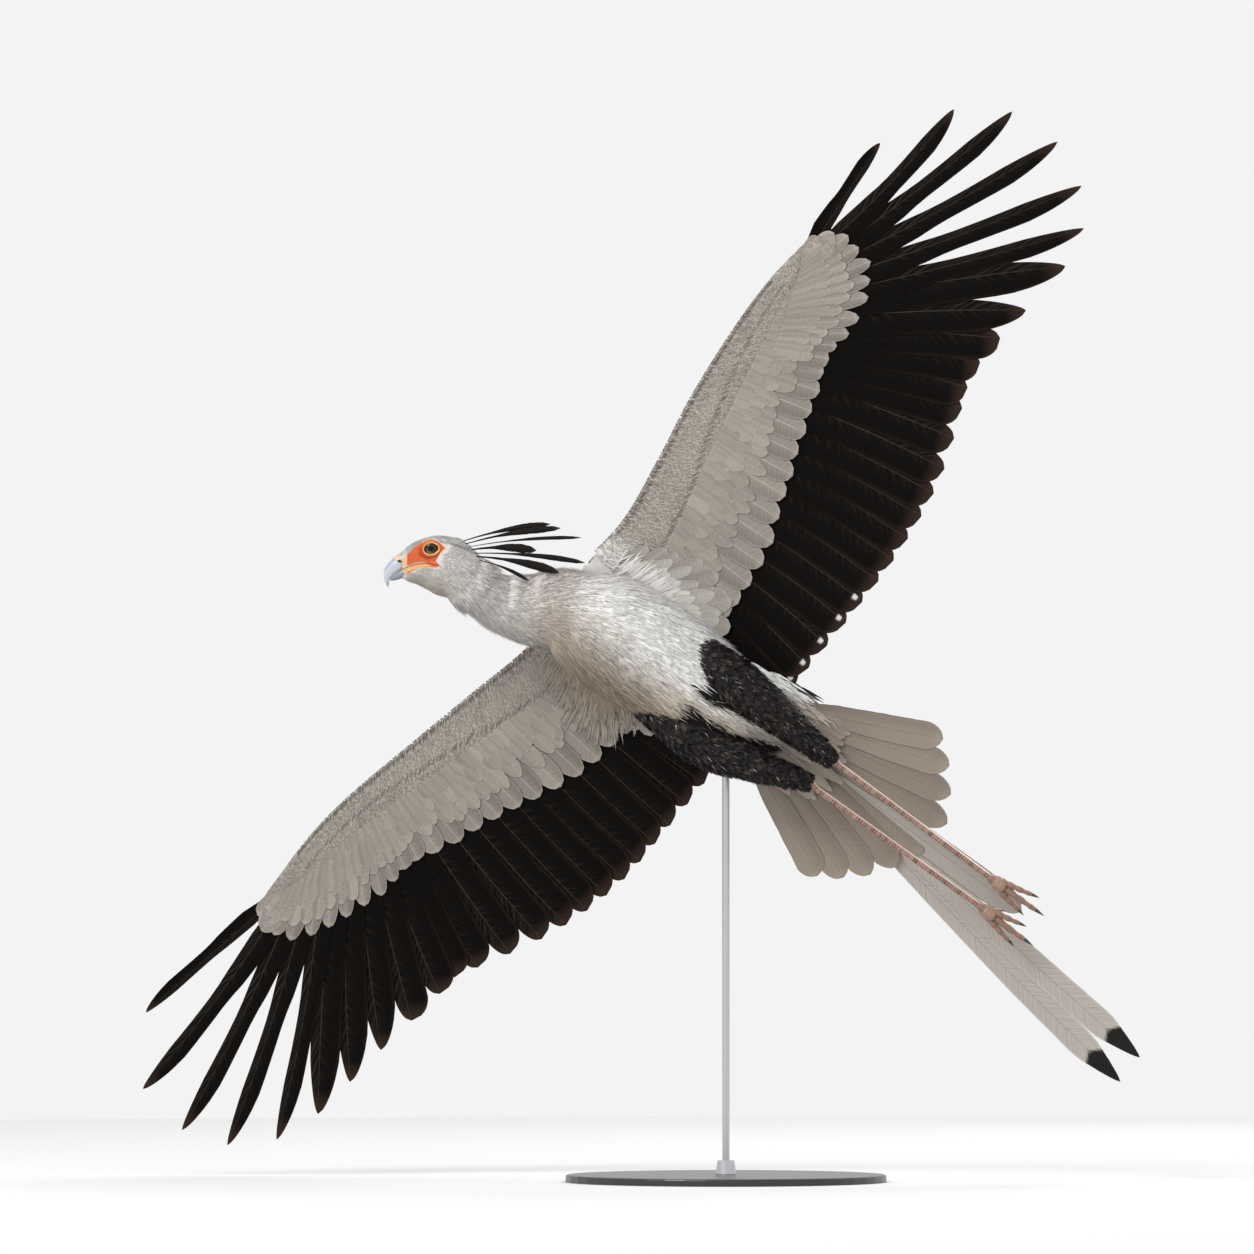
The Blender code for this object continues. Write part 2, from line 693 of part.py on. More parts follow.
def arm(wing):
    """The flesh and small coverts of the wing: an airfoil from shoulder to the hand's end."""
    rings = []
    wrist = wing.ulna[-1][1]
    end = wing.hand[-1][1] + HAND_PAST_ROOTS
    for i in range(ARM_STATIONS):
        share = i / (ARM_STATIONS - 1)
        out = ARM_START + (end - ARM_START) * share
        front = leading_edge(wing, out)
        if out < wrist:
            along = max(0.0, (out - wing.ulna[0][1]) / (wrist - wing.ulna[0][1]))
            rear = between(wing.ulna, along)[0] - FLESH_BEHIND_ROOTS
        else:
            along = min(1.0, (out - wrist) / (end - wrist))
            rear = between(wing.hand, along)[0] - FLESH_BEHIND_ROOTS + HAND_NARROWS * along
        thick = stepped(ARM_THICK, share)
        section = []
        for x, z in ARM_SECTION:
            forward = front - (front - rear) * x
            section.append(Vector((forward, wing.side * out, rise(forward, out) + thick * z)))
        rings.append(section)
    return loft(rings)


def flight_feathers(wing):
    """Roots and tips of the secondaries, innermost first, then of the primaries outwards."""
    rows = []
    for i in range(SECONDARIES):
        share = i / (SECONDARIES - 1)
        rows.append(("flight", share, between(wing.ulna, share), between(wing.secondary_tips, share)))
    for i in range(PRIMARIES):
        share = i / (PRIMARIES - 1)
        kind = "flight" if i < FIRST_FINGER else "finger"
        rows.append((kind, 1 + share, between(wing.hand, share), Vector(wing.primary_tips[i])))
    return rows


def wing_node(wing, collection, pose, cutters):
    """One wing: its arm, the flight feathers, a tier of coverts on each face and the alula."""
    name = "left" if wing.side > 0 else "right"
    pieces = [arm(wing)]
    for kind, reach, root, tip in flight_feathers(wing):
        outer = max(0.0, reach - 1)
        vanes = (stepped(INNER_VANE, outer), stepped(OUTER_VANE, outer))
        if kind == "finger":
            vanes = (stepped(FINGER_INNER_VANE, outer), FINGER_OUTER_VANE)
        roll = stepped(FEATHER_ROLL, min(1.0, outer * 2))
        bow = FINGER_BOW if kind == "finger" else FLIGHT_BOW
        pieces.append(flat_vane(kind, root, tip, bow, vanes, roll, (0.0, 0.0), rise, wing.side))
        for above in (-1, 1):
            covert_reach = stepped(COVERT_REACH, reach / 2) * (1.0 if above < 0 else UPPER_COVERTS_LONGER)
            start = root + (root - tip) * 0.02
            covert_tip = root + (tip - root) * covert_reach
            lift = (above * COVERT_LIFT[0], above * COVERT_LIFT[1])
            pieces.append(flat_vane("covert", start, covert_tip, 0.0, COVERT_VANES, roll * 0.7, lift,
                                    rise, wing.side, COVERT_SHAFT))
    pieces.extend(alula(wing))
    return fused(f"wing_{name}", pieces, collection, "flight_black", pose, cutters)


def alula(wing):
    """Three short quills that lie along the front edge of the hand."""
    wrist_out = wing.ulna[-1][1]
    quills = []
    for i, length in enumerate(ALULA_LENGTHS):
        out = wrist_out + ALULA_ROOT_STEP * i
        root = Vector((leading_edge(wing, out) - ALULA_INSET, out))
        edge_slope = (leading_edge(wing, out + length) - leading_edge(wing, out)) / length
        turn = math.atan(edge_slope) - stepped(ALULA_TURN, i / (len(ALULA_LENGTHS) - 1))
        tip = root + length * Vector((math.sin(turn), math.cos(turn)))
        quill = flat_vane("covert", root, tip, 0.0, ALULA_VANES, 0.0, (0.0, ALULA_LIFT), rise, wing.side)
        quills.append(quill)
    return quills


def tail_height(forward, out):
    back = max(0.0, TAIL_ROOT.x - forward)
    return TAIL_ROOT.z - TAIL_DROOP * (back / 0.78) ** 1.5


def tail_node(collection, pose, cutters):
    """Rump, ten fan feathers, the long second feather, the two streamers and the coverts."""
    rump = []
    for back, half_width, half_height in RUMP_RINGS:
        centre = Vector((TAIL_ROOT.x - back, TAIL_ROOT.y, tail_height(TAIL_ROOT.x - back, 0)))
        rump.append(ring(centre, Vector((-1, 0, 0)), half_width, half_height, 12))
    pieces = [loft(rump)]
    for name, side in (("left", 1), ("right", -1)):
        for pair in range(FAN_PAIRS):
            turn = side * FAN_STEP * (pair + 0.15)
            length = FAN_LENGTH[name] - FAN_SHORTER[name] * pair
            root = Vector((TAIL_ROOT.x - TAIL_FEATHER_INSET, TAIL_ROOT.y + side * FAN_ROOT_STEP[name] * pair))
            tip = Vector((TAIL_ROOT.x, TAIL_ROOT.y)) + length * Vector((-math.cos(turn), math.sin(turn)))
            if name == "left" and pair == 0:
                tip = LONG_SECOND_TIP
            layer = FAN_LAYER * (FAN_PAIRS - 1 - pair) - FAN_LOW
            pieces.append(flat_vane("flight", root, tip, FAN_BOW * side, FAN_VANES, side * FAN_ROLL,
                                    (layer, layer), tail_height))
    for i, tip in enumerate(STREAMER_TIPS):
        root = Vector((TAIL_ROOT.x - TAIL_FEATHER_INSET, TAIL_ROOT.y + (0.5 - i) * STREAMER_APART))
        layer = STREAMER_LIFT + STREAMER_LAYER * i
        pieces.append(flat_vane("finger", root, tip, STREAMER_BOW, STREAMER_VANES, STREAMER_ROLL,
                                (layer, layer), tail_height))
    for above in (-1, 1):
        pieces.extend(tail_coverts(above))
    return fused("tail", pieces, collection, "tail_grey", pose, cutters)


def tail_coverts(above):
    """A fan of short coverts over the feathers' roots, on the back (1) or the belly side (-1)."""
    feathers = []
    for i in range(TAIL_COVERTS):
        out = 2 * i / (TAIL_COVERTS - 1) - 1
        turn = TAIL_COVERT_SPREAD * out
        heading = Vector((-math.cos(turn), math.sin(turn)))
        start = Vector((TAIL_ROOT.x, TAIL_ROOT.y + TAIL_COVERT_ROOTS_OUT * out)) + heading * TAIL_COVERT_START
        tip = start + heading * TAIL_COVERT_LENGTH
        layer = above * (TAIL_COVERT_LIFT + FAN_LAYER * 0.5 * (i % 2))
        lift = (layer, layer * TAIL_COVERT_SETTLE)
        feathers.append(flat_vane("covert", start, tip, 0.0, TAIL_COVERT_VANES, 0.0, lift, tail_height, 1,
                                  COVERT_SHAFT))
    return feathers


def toe(root, tip, radius, name, collection, pose):
    """One toe as a tapered tube with its claw as a node of its own."""
    line = tip - root
    along = line.normalized()
    rings = []
    for share, size, sink in TOE_RINGS:
        spot = root + line * share + Vector((0, 0, -sink))
        rings.append(ring(spot, along, radius * size, radius * size, 8))
    claw_root = root + line * TOE_RINGS[-1][0] + along * TRIM_GAP
    claw_rings = []
    for share, size in CLAW_RINGS:
        spot = claw_root + (tip - claw_root) * share + Vector((0, 0, CLAW_CURL * share * share))
        claw_rings.append(ring(spot, along, radius * size, radius * size, 6))
    object_from(loft(claw_rings), name, collection, "claw_black", pose)
    return loft(rings)


def tarsus(ankle, foot):
    """The bare leg: a tube whose front side steps out at each plate's lower edge."""
    line = foot - ankle
    along = line.normalized()
    count = SCUTES * 2 + 2
    rings = []
    for i in range(count):
        share = i / (count - 1)
        ankle_swell = ANKLE_RADIUS * math.exp(-((share / ANKLE_SWELL) ** 2))
        foot_swell = FOOT_RADIUS * math.exp(-(((1 - share) / FOOT_SWELL) ** 2))
        radius = max(TARSUS_RADIUS, ankle_swell + foot_swell)
        centre = ankle + along * TRIM_GAP + (line - 2 * TRIM_GAP * along) * share
        points = ring(centre, along, radius * 0.88, radius, 8)
        if i % 2 == 1:
            points = [p + Vector((0, 0, -SCUTE_STEP)) if p.z < centre.z else p for p in points]
        rings.append(points)
    return loft(rings)


def foot_node(name, side, foot, along, collection, pose):
    """The foot: its pad, three long toes forward and the short one behind."""
    start = foot + along * GAP
    pieces = [loft([ring(start + along * ahead, along, wide, high, 8) for ahead, wide, high in PAD_RINGS])]
    for toe_name, (length, splay, radius) in TOES.items():
        turn = math.radians(splay)
        heading = Matrix.Rotation(-turn * side, 3, "Z") @ along
        root = start + along * TOE_START + Vector((0, side * math.sin(turn) * TOE_APART, 0))
        tip = root + heading * (length - TOE_IN_PAD)
        pieces.append(toe(root, tip, radius, f"claw_{name}_{toe_name}", collection, pose))
    hind_root = start + along * HIND_TOE_ROOT.x + Vector((0, -side * HIND_TOE_ROOT.y, HIND_TOE_ROOT.z))
    hind_tip = hind_root + Vector((HIND_TOE_REACH.x, -side * HIND_TOE_REACH.y, HIND_TOE_REACH.z))
    pieces.append(toe(hind_root, hind_tip, HIND_TOE_RADIUS, f"claw_{name}_hind", collection, pose))
    fused(f"foot_{name}", pieces, collection, "leg_pink", pose)


def leg(name, side, collection, cutters, pose):
    """Feathered thigh, scaled tarsus with its plates, and the foot with its toes and claws."""
    ankle, foot = ANKLES[name], FEET[name]
    along = (foot - ankle).normalized()
    thigh_rings = tube_rings(THIGHS[name], 9, 12)
    thigh_rings[-1] = ring(ankle, along, THIGHS[name][-1][3], THIGHS[name][-1][3], 12)
    fused(f"leg_{name}_thigh", [loft(thigh_rings)], collection, "thigh_black", pose, cutters)
    object_from(tarsus(ankle, foot), f"leg_{name}_tarsus", collection, "leg_pink", pose)
    foot_node(name, side, foot, along, collection, pose)


def stand(collection, cutters):
    """A round base, a boss that holds the rod, and one straight rod up into the bird."""
    base = upright_cylinder(BASE_RADIUS, BASE_THICK, (0, 0, BASE_THICK / 2), 48)
    top_edges = [e for e in base.edges if all(v.co.z > BASE_THICK / 2 for v in e.verts)]
    bmesh.ops.bevel(base, geom=top_edges, offset=BASE_BEVEL, segments=2, profile=0.5, affect="EDGES",
                    material=-1)
    object_from(base, "stand_base", collection, "stand_base")
    low = BASE_THICK + GAP
    boss_middle = (*ROD_PLACE, low + BOSS_HEIGHT / 2)
    boss = upright_cylinder(BOSS_RADIUS, BOSS_HEIGHT, boss_middle, 32, BOSS_RADIUS * 0.8)
    bore = upright_cylinder(ROD_RADIUS + GAP, 2 * BOSS_HEIGHT, boss_middle, 24)
    fused("stand_boss", [boss], collection, "stand_steel", None, [cutter_from(bore, "boss_bore", cutters)])
    rod = upright_cylinder(ROD_RADIUS, ROD_TOP - low, (*ROD_PLACE, (ROD_TOP + low) / 2), 20)
    object_from(rod, "stand_rod", collection, "stand_steel")


def bank_pose(collection):
    """The empty that banks the bird: its axes are the bird's forward, left and back."""
    forward = Vector((math.cos(HEADING), 0, math.sin(HEADING)))
    wingward = Vector((math.cos(HEADING - math.pi / 2), 0, math.sin(HEADING - math.pi / 2)))
    near = Vector((0, -1, 0))
    left = wingward * math.cos(ROLL) + near * math.sin(ROLL)
    back = wingward * math.sin(ROLL) - near * math.cos(ROLL)
    pose = bpy.data.objects.new("bird_pose", None)
    collection.objects.link(pose)
    turn = Matrix((forward, left, back)).transposed()
    pose.matrix_world = Matrix.Translation(SHOULDERS_AT) @ turn.to_4x4()
    return pose


def head_pose(collection):
    """The empty of the head, which the bird keeps level while its body banks."""
    pose = bpy.data.objects.new("head_pose", None)
    collection.objects.link(pose)
    forward = Vector((-math.cos(HEAD_TILT), 0, -math.sin(HEAD_TILT)))
    up = Vector((-math.sin(HEAD_TILT), 0, math.cos(HEAD_TILT)))
    left = up.cross(forward)
    turn = Matrix((forward, left, up)).transposed()
    pose.matrix_world = Matrix.Translation(EYE_IN_WORLD) @ turn.to_4x4()
    return pose


def main():
    clear_scene()
    scene = bpy.context.scene.collection
    bird = bpy.data.collections.new("secretary_bird")
    cutters = bpy.data.collections.new("cutters")
    scene.children.link(bird)
    scene.children.link(cutters)
    pose = bank_pose(bird)
    skull = head_pose(bird)
    bpy.context.view_layer.update()
    torso, neck = trunk(bird, cutters, pose, skull)
    torso_cutter = grown_copy(torso, "torso_clearance", TRIM_GAP, cutters)
    for wing in (LEFT_WING, RIGHT_WING):
        wing_node(wing, bird, pose, [torso_cutter])
    tail_node(bird, pose, [torso_cutter])
    for name, side in (("left", 1), ("right", -1)):
        leg(name, side, bird, [torso_cutter], pose)
    head(bird, cutters, skull)
    stand(bird, cutters)


main()
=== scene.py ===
# %% [markdown]
# # A secretary bird in flight
# The bird glides in a bank with both wings spread, its long legs and two tail streamers trailing,
# and a plain stand holds it in the air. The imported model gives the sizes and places. This script
# dresses it: one skin under everything, then feathers of every size, then the bare parts.

# %% Load the frame
import json
import math
from functools import partial

import bmesh
import bpy
import numpy as np
from mathutils import Matrix, Vector
from mathutils.bvhtree import BVHTree
from mathutils.kdtree import KDTree

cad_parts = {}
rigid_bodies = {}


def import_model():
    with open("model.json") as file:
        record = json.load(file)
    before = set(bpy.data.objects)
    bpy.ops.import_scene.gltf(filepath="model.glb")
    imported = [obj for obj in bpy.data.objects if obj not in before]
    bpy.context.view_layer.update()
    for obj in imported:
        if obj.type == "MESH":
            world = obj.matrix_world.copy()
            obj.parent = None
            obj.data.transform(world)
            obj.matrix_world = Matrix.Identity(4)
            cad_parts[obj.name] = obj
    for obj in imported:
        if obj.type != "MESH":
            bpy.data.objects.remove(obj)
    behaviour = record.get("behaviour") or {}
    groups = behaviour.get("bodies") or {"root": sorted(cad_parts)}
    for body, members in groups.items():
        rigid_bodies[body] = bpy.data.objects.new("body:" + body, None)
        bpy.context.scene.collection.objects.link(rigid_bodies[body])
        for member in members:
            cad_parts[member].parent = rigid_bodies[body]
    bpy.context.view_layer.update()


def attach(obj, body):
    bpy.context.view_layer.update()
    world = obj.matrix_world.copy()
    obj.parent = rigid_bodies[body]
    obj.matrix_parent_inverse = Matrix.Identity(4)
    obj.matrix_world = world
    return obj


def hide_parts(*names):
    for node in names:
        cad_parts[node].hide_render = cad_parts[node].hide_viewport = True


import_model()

rng = np.random.default_rng(11)

# %% [markdown]
# ## Three frames
# A bird is easiest to describe in its own frame: forward, left and back. The frame of the body is
# banked, the frame of the head stays level as a flying bird keeps it, and the wing is laid out
# flat, forward and outward, before it is bent onto its curved sheet.

# %% Frames of the body and the head
HEADING = math.radians(142)
ROLL = math.radians(18)
SHOULDERS_AT = np.array((-0.191, 0.055, 0.927))
HEAD_TILT = math.radians(8)
EYES_AT = np.array((-0.4771, -0.028, 1.0256))

bird_forward = np.array((math.cos(HEADING), 0, math.sin(HEADING)))
wingward = np.array((math.sin(HEADING), 0, -math.cos(HEADING)))
near = np.array((0, -1, 0))
bird_left = wingward * math.cos(ROLL) + near * math.sin(ROLL)
bird_back = wingward * math.sin(ROLL) - near * math.cos(ROLL)
BIRD = np.array((bird_forward, bird_left, bird_back))
head_forward = np.array((-math.cos(HEAD_TILT), 0, -math.sin(HEAD_TILT)))
head_up = np.array((-math.sin(HEAD_TILT), 0, math.cos(HEAD_TILT)))
HEAD = np.array((head_forward, np.cross(head_up, head_forward), head_up))


def from_bird(points):
    return np.asarray(points) @ BIRD + SHOULDERS_AT


def from_head(points):
    return np.asarray(points) @ HEAD + EYES_AT


def to_head(points):
    return (np.asarray(points) - EYES_AT) @ HEAD.T


print("bird forward", bird_forward.round(3), "head forward", head_forward.round(3))

# %% [markdown]
# ## Camera, floor and light
# The photograph is a long-lens picture taken level with the bird's belly, so the camera stands far
# off with a long lens.

# %% Camera
IMAGE_SIDE = 1254
METRES_PER_PIXEL = 1.62e-3
BASE_PIXEL = (726, 1182)
CAMERA_AWAY = 30.0
SENSOR = 36.0

frame_width = IMAGE_SIDE * METRES_PER_PIXEL
camera_data = bpy.data.cameras.new("camera")
camera_data.sensor_width = SENSOR
camera_data.lens = SENSOR * CAMERA_AWAY / frame_width
camera_data.clip_end = 200
camera = bpy.data.objects.new("camera", camera_data)
bpy.context.scene.collection.objects.link(camera)
camera.location = (
    (IMAGE_SIDE / 2 - BASE_PIXEL[0]) * METRES_PER_PIXEL,
    -CAMERA_AWAY,
    (BASE_PIXEL[1] - IMAGE_SIDE / 2) * METRES_PER_PIXEL,
)
camera.rotation_euler = (math.radians(90), 0, 0)
bpy.context.scene.camera = camera
print("camera", tuple(round(x, 3) for x in camera.location), "lens", round(camera_data.lens, 1))

# %% [markdown]
# The floor is a wide pale disc, and the light is a bright even sky with one large soft lamp above
# the bird's head and a weaker one behind.

# %% Floor, sky and lamps
FLOOR_RADIUS = 4.0
FLOOR_COLOUR = (0.80, 0.80, 0.79, 1)
SKY_COLOUR = (0.945, 0.945, 0.945, 1)
SKY_STRENGTH = 0.95
LAMPS = (
    ("key", (-2.2, -2.8, 3.4), (-0.1, 0, 0.9), 1.6, 95),
    ("rim", (2.0, 2.6, 2.6), (0, 0, 0.9), 1.8, 45),
)


def area_lamp(name, place, aim, size, watts):
    lamp_data = bpy.data.lights.new(name, "AREA")
    lamp_data.shape = "DISK"
    lamp_data.size = size
    lamp_data.energy = watts
    lamp = bpy.data.objects.new(name, lamp_data)
    lamp.location = place
    lamp.rotation_euler = (Vector(aim) - Vector(place)).to_track_quat("-Z", "Y").to_euler()
    bpy.context.scene.collection.objects.link(lamp)


world = bpy.data.worlds.new("studio")
world.use_nodes = True
sky = world.node_tree.nodes["Background"].inputs
sky["Color"].default_value = SKY_COLOUR
sky["Strength"].default_value = SKY_STRENGTH
bpy.context.scene.world = world
bpy.context.scene.view_settings.view_transform = "Standard"
for lamp in LAMPS:
    area_lamp(*lamp)

# %% [markdown]
# ## Writing a shader as a sum
# A material is a graph of nodes. One small class wraps a socket, so that `1 - mask * 0.5` adds the
# Math nodes by itself, and one method makes any other node from its type and settings.

# %% The socket class
class Value:
    """A socket that can be added, multiplied and so on, adding Math nodes as it goes."""

    def __init__(self, graph, socket):
        self.graph = graph
        self.socket = socket

    def math(self, operation, *others):
        return self.graph.node("ShaderNodeMath", {"operation": operation}, [self, *others])

    def __add__(self, other):
        return self.math("ADD", other)

    def __mul__(self, other):
        return self.math("MULTIPLY", other)

    def __sub__(self, other):
        return self.math("SUBTRACT", other)

    def __rsub__(self, other):
        return self.graph.node("ShaderNodeMath", {"operation": "SUBTRACT"}, [other, self])

    def abs(self):
        return self.math("ABSOLUTE")

    def between(self, low, high):
        """0 below low, 1 above high, smooth in between."""
        sockets = {"Value": self, "From Min": low, "From Max": high}
        return self.graph.node("ShaderNodeMapRange", {"interpolation_type": "SMOOTHSTEP"}, sockets)


class Graph:
    """The nodes of one new material, with its Principled shader."""

    def __init__(self, name, roughness=0.6, metallic=0.0, **sockets):
        self.material = bpy.data.materials.new(name)
        self.material.use_nodes = True
        self.tree = self.material.node_tree
        self.shader = self.tree.nodes["Principled BSDF"]
        self.shader.inputs["Roughness"].default_value = roughness
        self.shader.inputs["Metallic"].default_value = metallic
        for socket, value in sockets.items():
            self.shader.inputs[socket.replace("_", " ")].default_value = value

    def connect(self, target, value):
        if isinstance(value, Value):
            self.tree.links.new(value.socket, target)
        elif hasattr(target.default_value, "__len__") and len(target.default_value) == 4:
            target.default_value = (*value[:3], 1)
        else:
            target.default_value = value

    def node(self, kind, settings=None, sockets=None, output=0):
        made = self.tree.nodes.new(kind)
        for setting, value in (settings or {}).items():
            setattr(made, setting, value)
        pairs = sockets.items() if isinstance(sockets, dict) else enumerate(sockets or [])
        for key, value in pairs:
            self.connect(made.inputs[key], value)
        return Value(self, made.outputs[output])

    def blend(self, share, first, second, how="MIX"):
        settings = {"data_type": "RGBA", "blend_type": how}
        return self.node("ShaderNodeMix", settings, {0: share, 6: first, 7: second}, output=2)

    def attribute(self, name, output="Color"):
        return self.node("ShaderNodeAttribute", {"attribute_name": name}, output=output)

    def vane_place(self):
        """Sideways place on a feather, -1 to 1, and place along it, 0 to 1."""
        place = self.node("ShaderNodeSeparateXYZ", None, [self.node("ShaderNodeUVMap", {"uv_map": "vane"})])
        return place * 2 - 1, Value(self, place.socket.node.outputs[1])

    def noise(self, scale, detail=3.0, stretch=(1, 1, 1)):
        place = self.node("ShaderNodeTexCoord", output="Object")
        mapped = self.node("ShaderNodeMapping", None, {"Vector": place, "Scale": stretch})
        sockets = {"Vector": mapped, "Scale": scale, "Detail": detail, "Roughness": 0.5}
        return self.node("ShaderNodeTexNoise", None, sockets, output="Fac")

    def bump(self, height, strength, distance):
        sockets = {"Height": height, "Strength": strength, "Distance": distance}
        self.finish("Normal", self.node("ShaderNodeBump", None, sockets))

    def finish(self, socket, value):
        self.connect(self.shader.inputs[socket], value)


def grained(name, first, second, scale, share, how="MIX", detail=3.0, stretch=(1, 1, 1), bump=None,
            **sockets):
    """A finish of one colour, or the stored tone if it is None, that a grain turns to a second one."""
    g = Graph(name, **sockets)
    grain = g.noise(scale, detail, stretch)
    g.finish("Base Color", g.blend(grain * share, first or g.attribute("tone"), second, how))
    if bump:
        g.bump(grain, *bump)
    return g


floor_finish = grained("floor_pale", FLOOR_COLOUR, (0.70, 0.70, 0.69), 3.0, 0.12, detail=4.0, roughness=0.75)
print("materials", len(bpy.data.materials))

# %% [markdown]
# ## Small helpers for meshes
# Every piece ends the same way: faces out, smooth shading, a material, and a body to ride on. A
# smooth curve through a few stops is the main way to give a bird its shape.

# %% Mesh helpers
def piece(name, bm, finish, slot, replaces=(), smooth=True):
    mesh = mesh_from(bm, name)
    if smooth:
        mesh.shade_smooth()
    return place_piece(name, mesh, finish, slot, replaces)


def mesh_from(bm, name):
    mesh = bpy.data.meshes.new(name)
    bm.to_mesh(mesh)
    bm.free()
    return mesh


def place_piece(name, mesh, finish, slot, replaces=()):
    made = bpy.data.objects.new(name, mesh)
    bpy.context.scene.collection.objects.link(made)
    mesh.materials.append(finish.material)
    if slot is None:
        return made
    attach(made, "root")
    if replaces:
        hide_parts(*replaces)
    return made


def mesh_points(mesh):
    points = np.empty(len(mesh.vertices) * 3)
    mesh.vertices.foreach_get("co", points)
    return points.reshape(-1, 3)


def store_uv(mesh, name, values):
    layer = mesh.uv_layers.new(name=name)
    layer.uv.foreach_set("vector", np.asarray(values, np.float32).ravel())


def store_tone(mesh, colours, marks=0.0):
    """The colour of each vertex, with a mark beside it that is 1 on a feather with a white spot."""
    layer = mesh.color_attributes.new("tone", "FLOAT_COLOR", "POINT")
    rows = np.concatenate((colours, np.zeros((len(colours), 1)) + marks), 1)
    layer.data.foreach_set("color", rows.astype(np.float32).ravel())


def along_curve(stops, share):
    """Points at shares 0 to 1 along a smooth curve through evenly spaced stops, as rows."""
    stops = np.asarray(stops, float)
    at = np.clip(np.asarray(share, float), 0, 1) * (len(stops) - 1)
    index = np.minimum(at.astype(int), len(stops) - 2)
    t = (at - index)[..., None]
    before, start, end, after = (stops[np.clip(index + step, 0, len(stops) - 1)] for step in (-1, 0, 1, 2))
    return 0.5 * (
        2 * start
        + t * (end - before)
        + t ** 2 * (2 * before - 5 * start + 4 * end - after)
        + t ** 3 * (3 * start - before - 3 * end + after)
    )


def unit(vectors):
    return vectors / np.maximum(np.linalg.norm(vectors, axis=-1, keepdims=True), 1e-9)


def smooth(values, low, high):
    """0 at low, 1 at high, smooth in between."""
    t = np.clip((np.asarray(values, float) - low) / (high - low), 0, 1)
    return t * t * (3 - 2 * t)


def bell(values, width):
    """1 at zero, fading to nothing at a few widths."""
    return np.exp(-(values / width) ** 2)


def spread(stops, share, first=0, last=1):
    """Values through stops that are evenly spaced from the first share to the last."""
    return np.interp(share, np.linspace(first, last, len(stops)), stops)


def rgb(*values):
    return np.array(values)


def mix(first, second, share):
    share = np.asarray(share, float)[..., None]
    return np.asarray(first) * (1 - share) + np.asarray(second) * share


def layered(tone, *layers):
    """A tone under layers, each a colour and the share of it that shows."""
    for colour, share in layers:
        tone = mix(tone, colour, share)
    return tone


def varied(tones, count, vary=0.05):
    """The tones of a number of feathers, each a little lighter or darker."""
    return np.clip(np.asarray(tones) * rng.normal(1, vary, (count, 1)), 0, 0.92)


def ripple(points, size, seed):
    """Smooth random waves from -1 to 1 over points, about size across."""
    waves = np.random.default_rng(seed)
    total = np.zeros(len(points))
    for _ in range(6):
        direction = unit(waves.normal(size=3)) * (2 * math.pi / size) * waves.uniform(0.6, 1.6)
        total += np.sin(points @ direction + waves.uniform(0, 6.28))
    return total / 3.2


floor_bm = bmesh.new()
bmesh.ops.create_circle(floor_bm, cap_ends=True, segments=96, radius=FLOOR_RADIUS)
piece("studio_floor", floor_bm, floor_finish, None, smooth=False)
print("floor radius", FLOOR_RADIUS)

# %% [markdown]
# ## The shape of the wing
# From below a wing is an arm near its front edge, with long flight feathers fanned behind it. The
# outline is given flat by a few stops: the leading edge, the line of the feathers' roots along the
# forearm and the hand, and the tips. The sheet then arches over the span and droops behind.

# %% Wing outlines
HALF_SPAN = 1.1
ARCH = 0.05
TIP_DROP = 0.03
CAMBER = 0.20
CAMBER_FRONT = 0.10
PRIMARIES = 10
SECONDARIES = 14
ARM_FROM = 0.035
REAR_MARGIN = 0.030

# The arm's section: shares of the chord, and the heights there as parts of the arm's thickness.
ARM_CHORD = (-0.05, 0.0, 0.12, 0.38, 0.70, 1.0, 1.5, 2.5)
ARM_TOP = (-0.2, 0.0, 0.62, 1.0, 0.72, 0.40, 0.30, 0.25)
ARM_BELOW = (-0.2, 0.0, 0.55, 0.78, 0.62, 0.40, 0.30, 0.25)


class Wing:
    """One wing, flat: stops forward and outward in metres, primaries from the inside out."""

    def __init__(self, name, side, leading, ulna, hand, secondary_tips, primary_tips):
        self.name = name
        self.side = side
        self.leading = leading
        self.ulna = ulna
        self.hand = hand
        self.secondary_tips = secondary_tips
        self.primary_tips = primary_tips
        lead = along_curve(leading, np.linspace(0, 1, 60))
        self.lead_table = (lead[:, 1], lead[:, 0])
        rear = np.vstack((along_curve(ulna, np.linspace(0, 1, 30)), along_curve(hand, np.linspace(0, 1, 20))))
        self.rear_table = (rear[:, 1], rear[:, 0])
        self.end = hand[-1][1] + 0.03

    def front(self, out):
        return np.interp(out, *self.lead_table)

    def rear(self, out):
        return np.interp(out, *self.rear_table) - REAR_MARGIN

    def on_arm(self, x, out, behind=0.0):
        """Flat places at share x of the arm's chord, from its front edge back."""
        front = self.front(out)
        return np.stack((front - (front - (self.rear(out) - behind)) * x, out), -1)

    def face(self, above):
        """A function that lays flat points on the top (1) or on the underside (-1)."""
        return lambda flat: self.place(flat, above)

    def chart(self, above, out, share):
        return chart_place(f"{self.name}_{above}", out / self.end, share)

    def place(self, flat, above=0):
        """World points of flat ones: forward, outward, and height over the sheet or the arm."""
        forward, out, height = flat[..., 0], flat[..., 1], flat[..., 2]
        if above:
            height = above * (self.thickness(forward, out, above) + height)
        level = rise(forward, out) + height
        return from_bird(np.stack((forward, self.side * out, level), -1))

    def thickness(self, forward, out, above):
        """How far the arm's surface stands off the sheet, on top (1) or below (-1)."""
        share = np.clip((out - ARM_FROM) / (self.end - ARM_FROM), 0, 1)
        front = self.front(out)
        chord = np.maximum(front - self.rear(out), 0.01)
        shape = ARM_TOP if above > 0 else ARM_BELOW
        return (0.017 - 0.010 * share) * np.interp((front - forward) / chord, ARM_CHORD, shape)


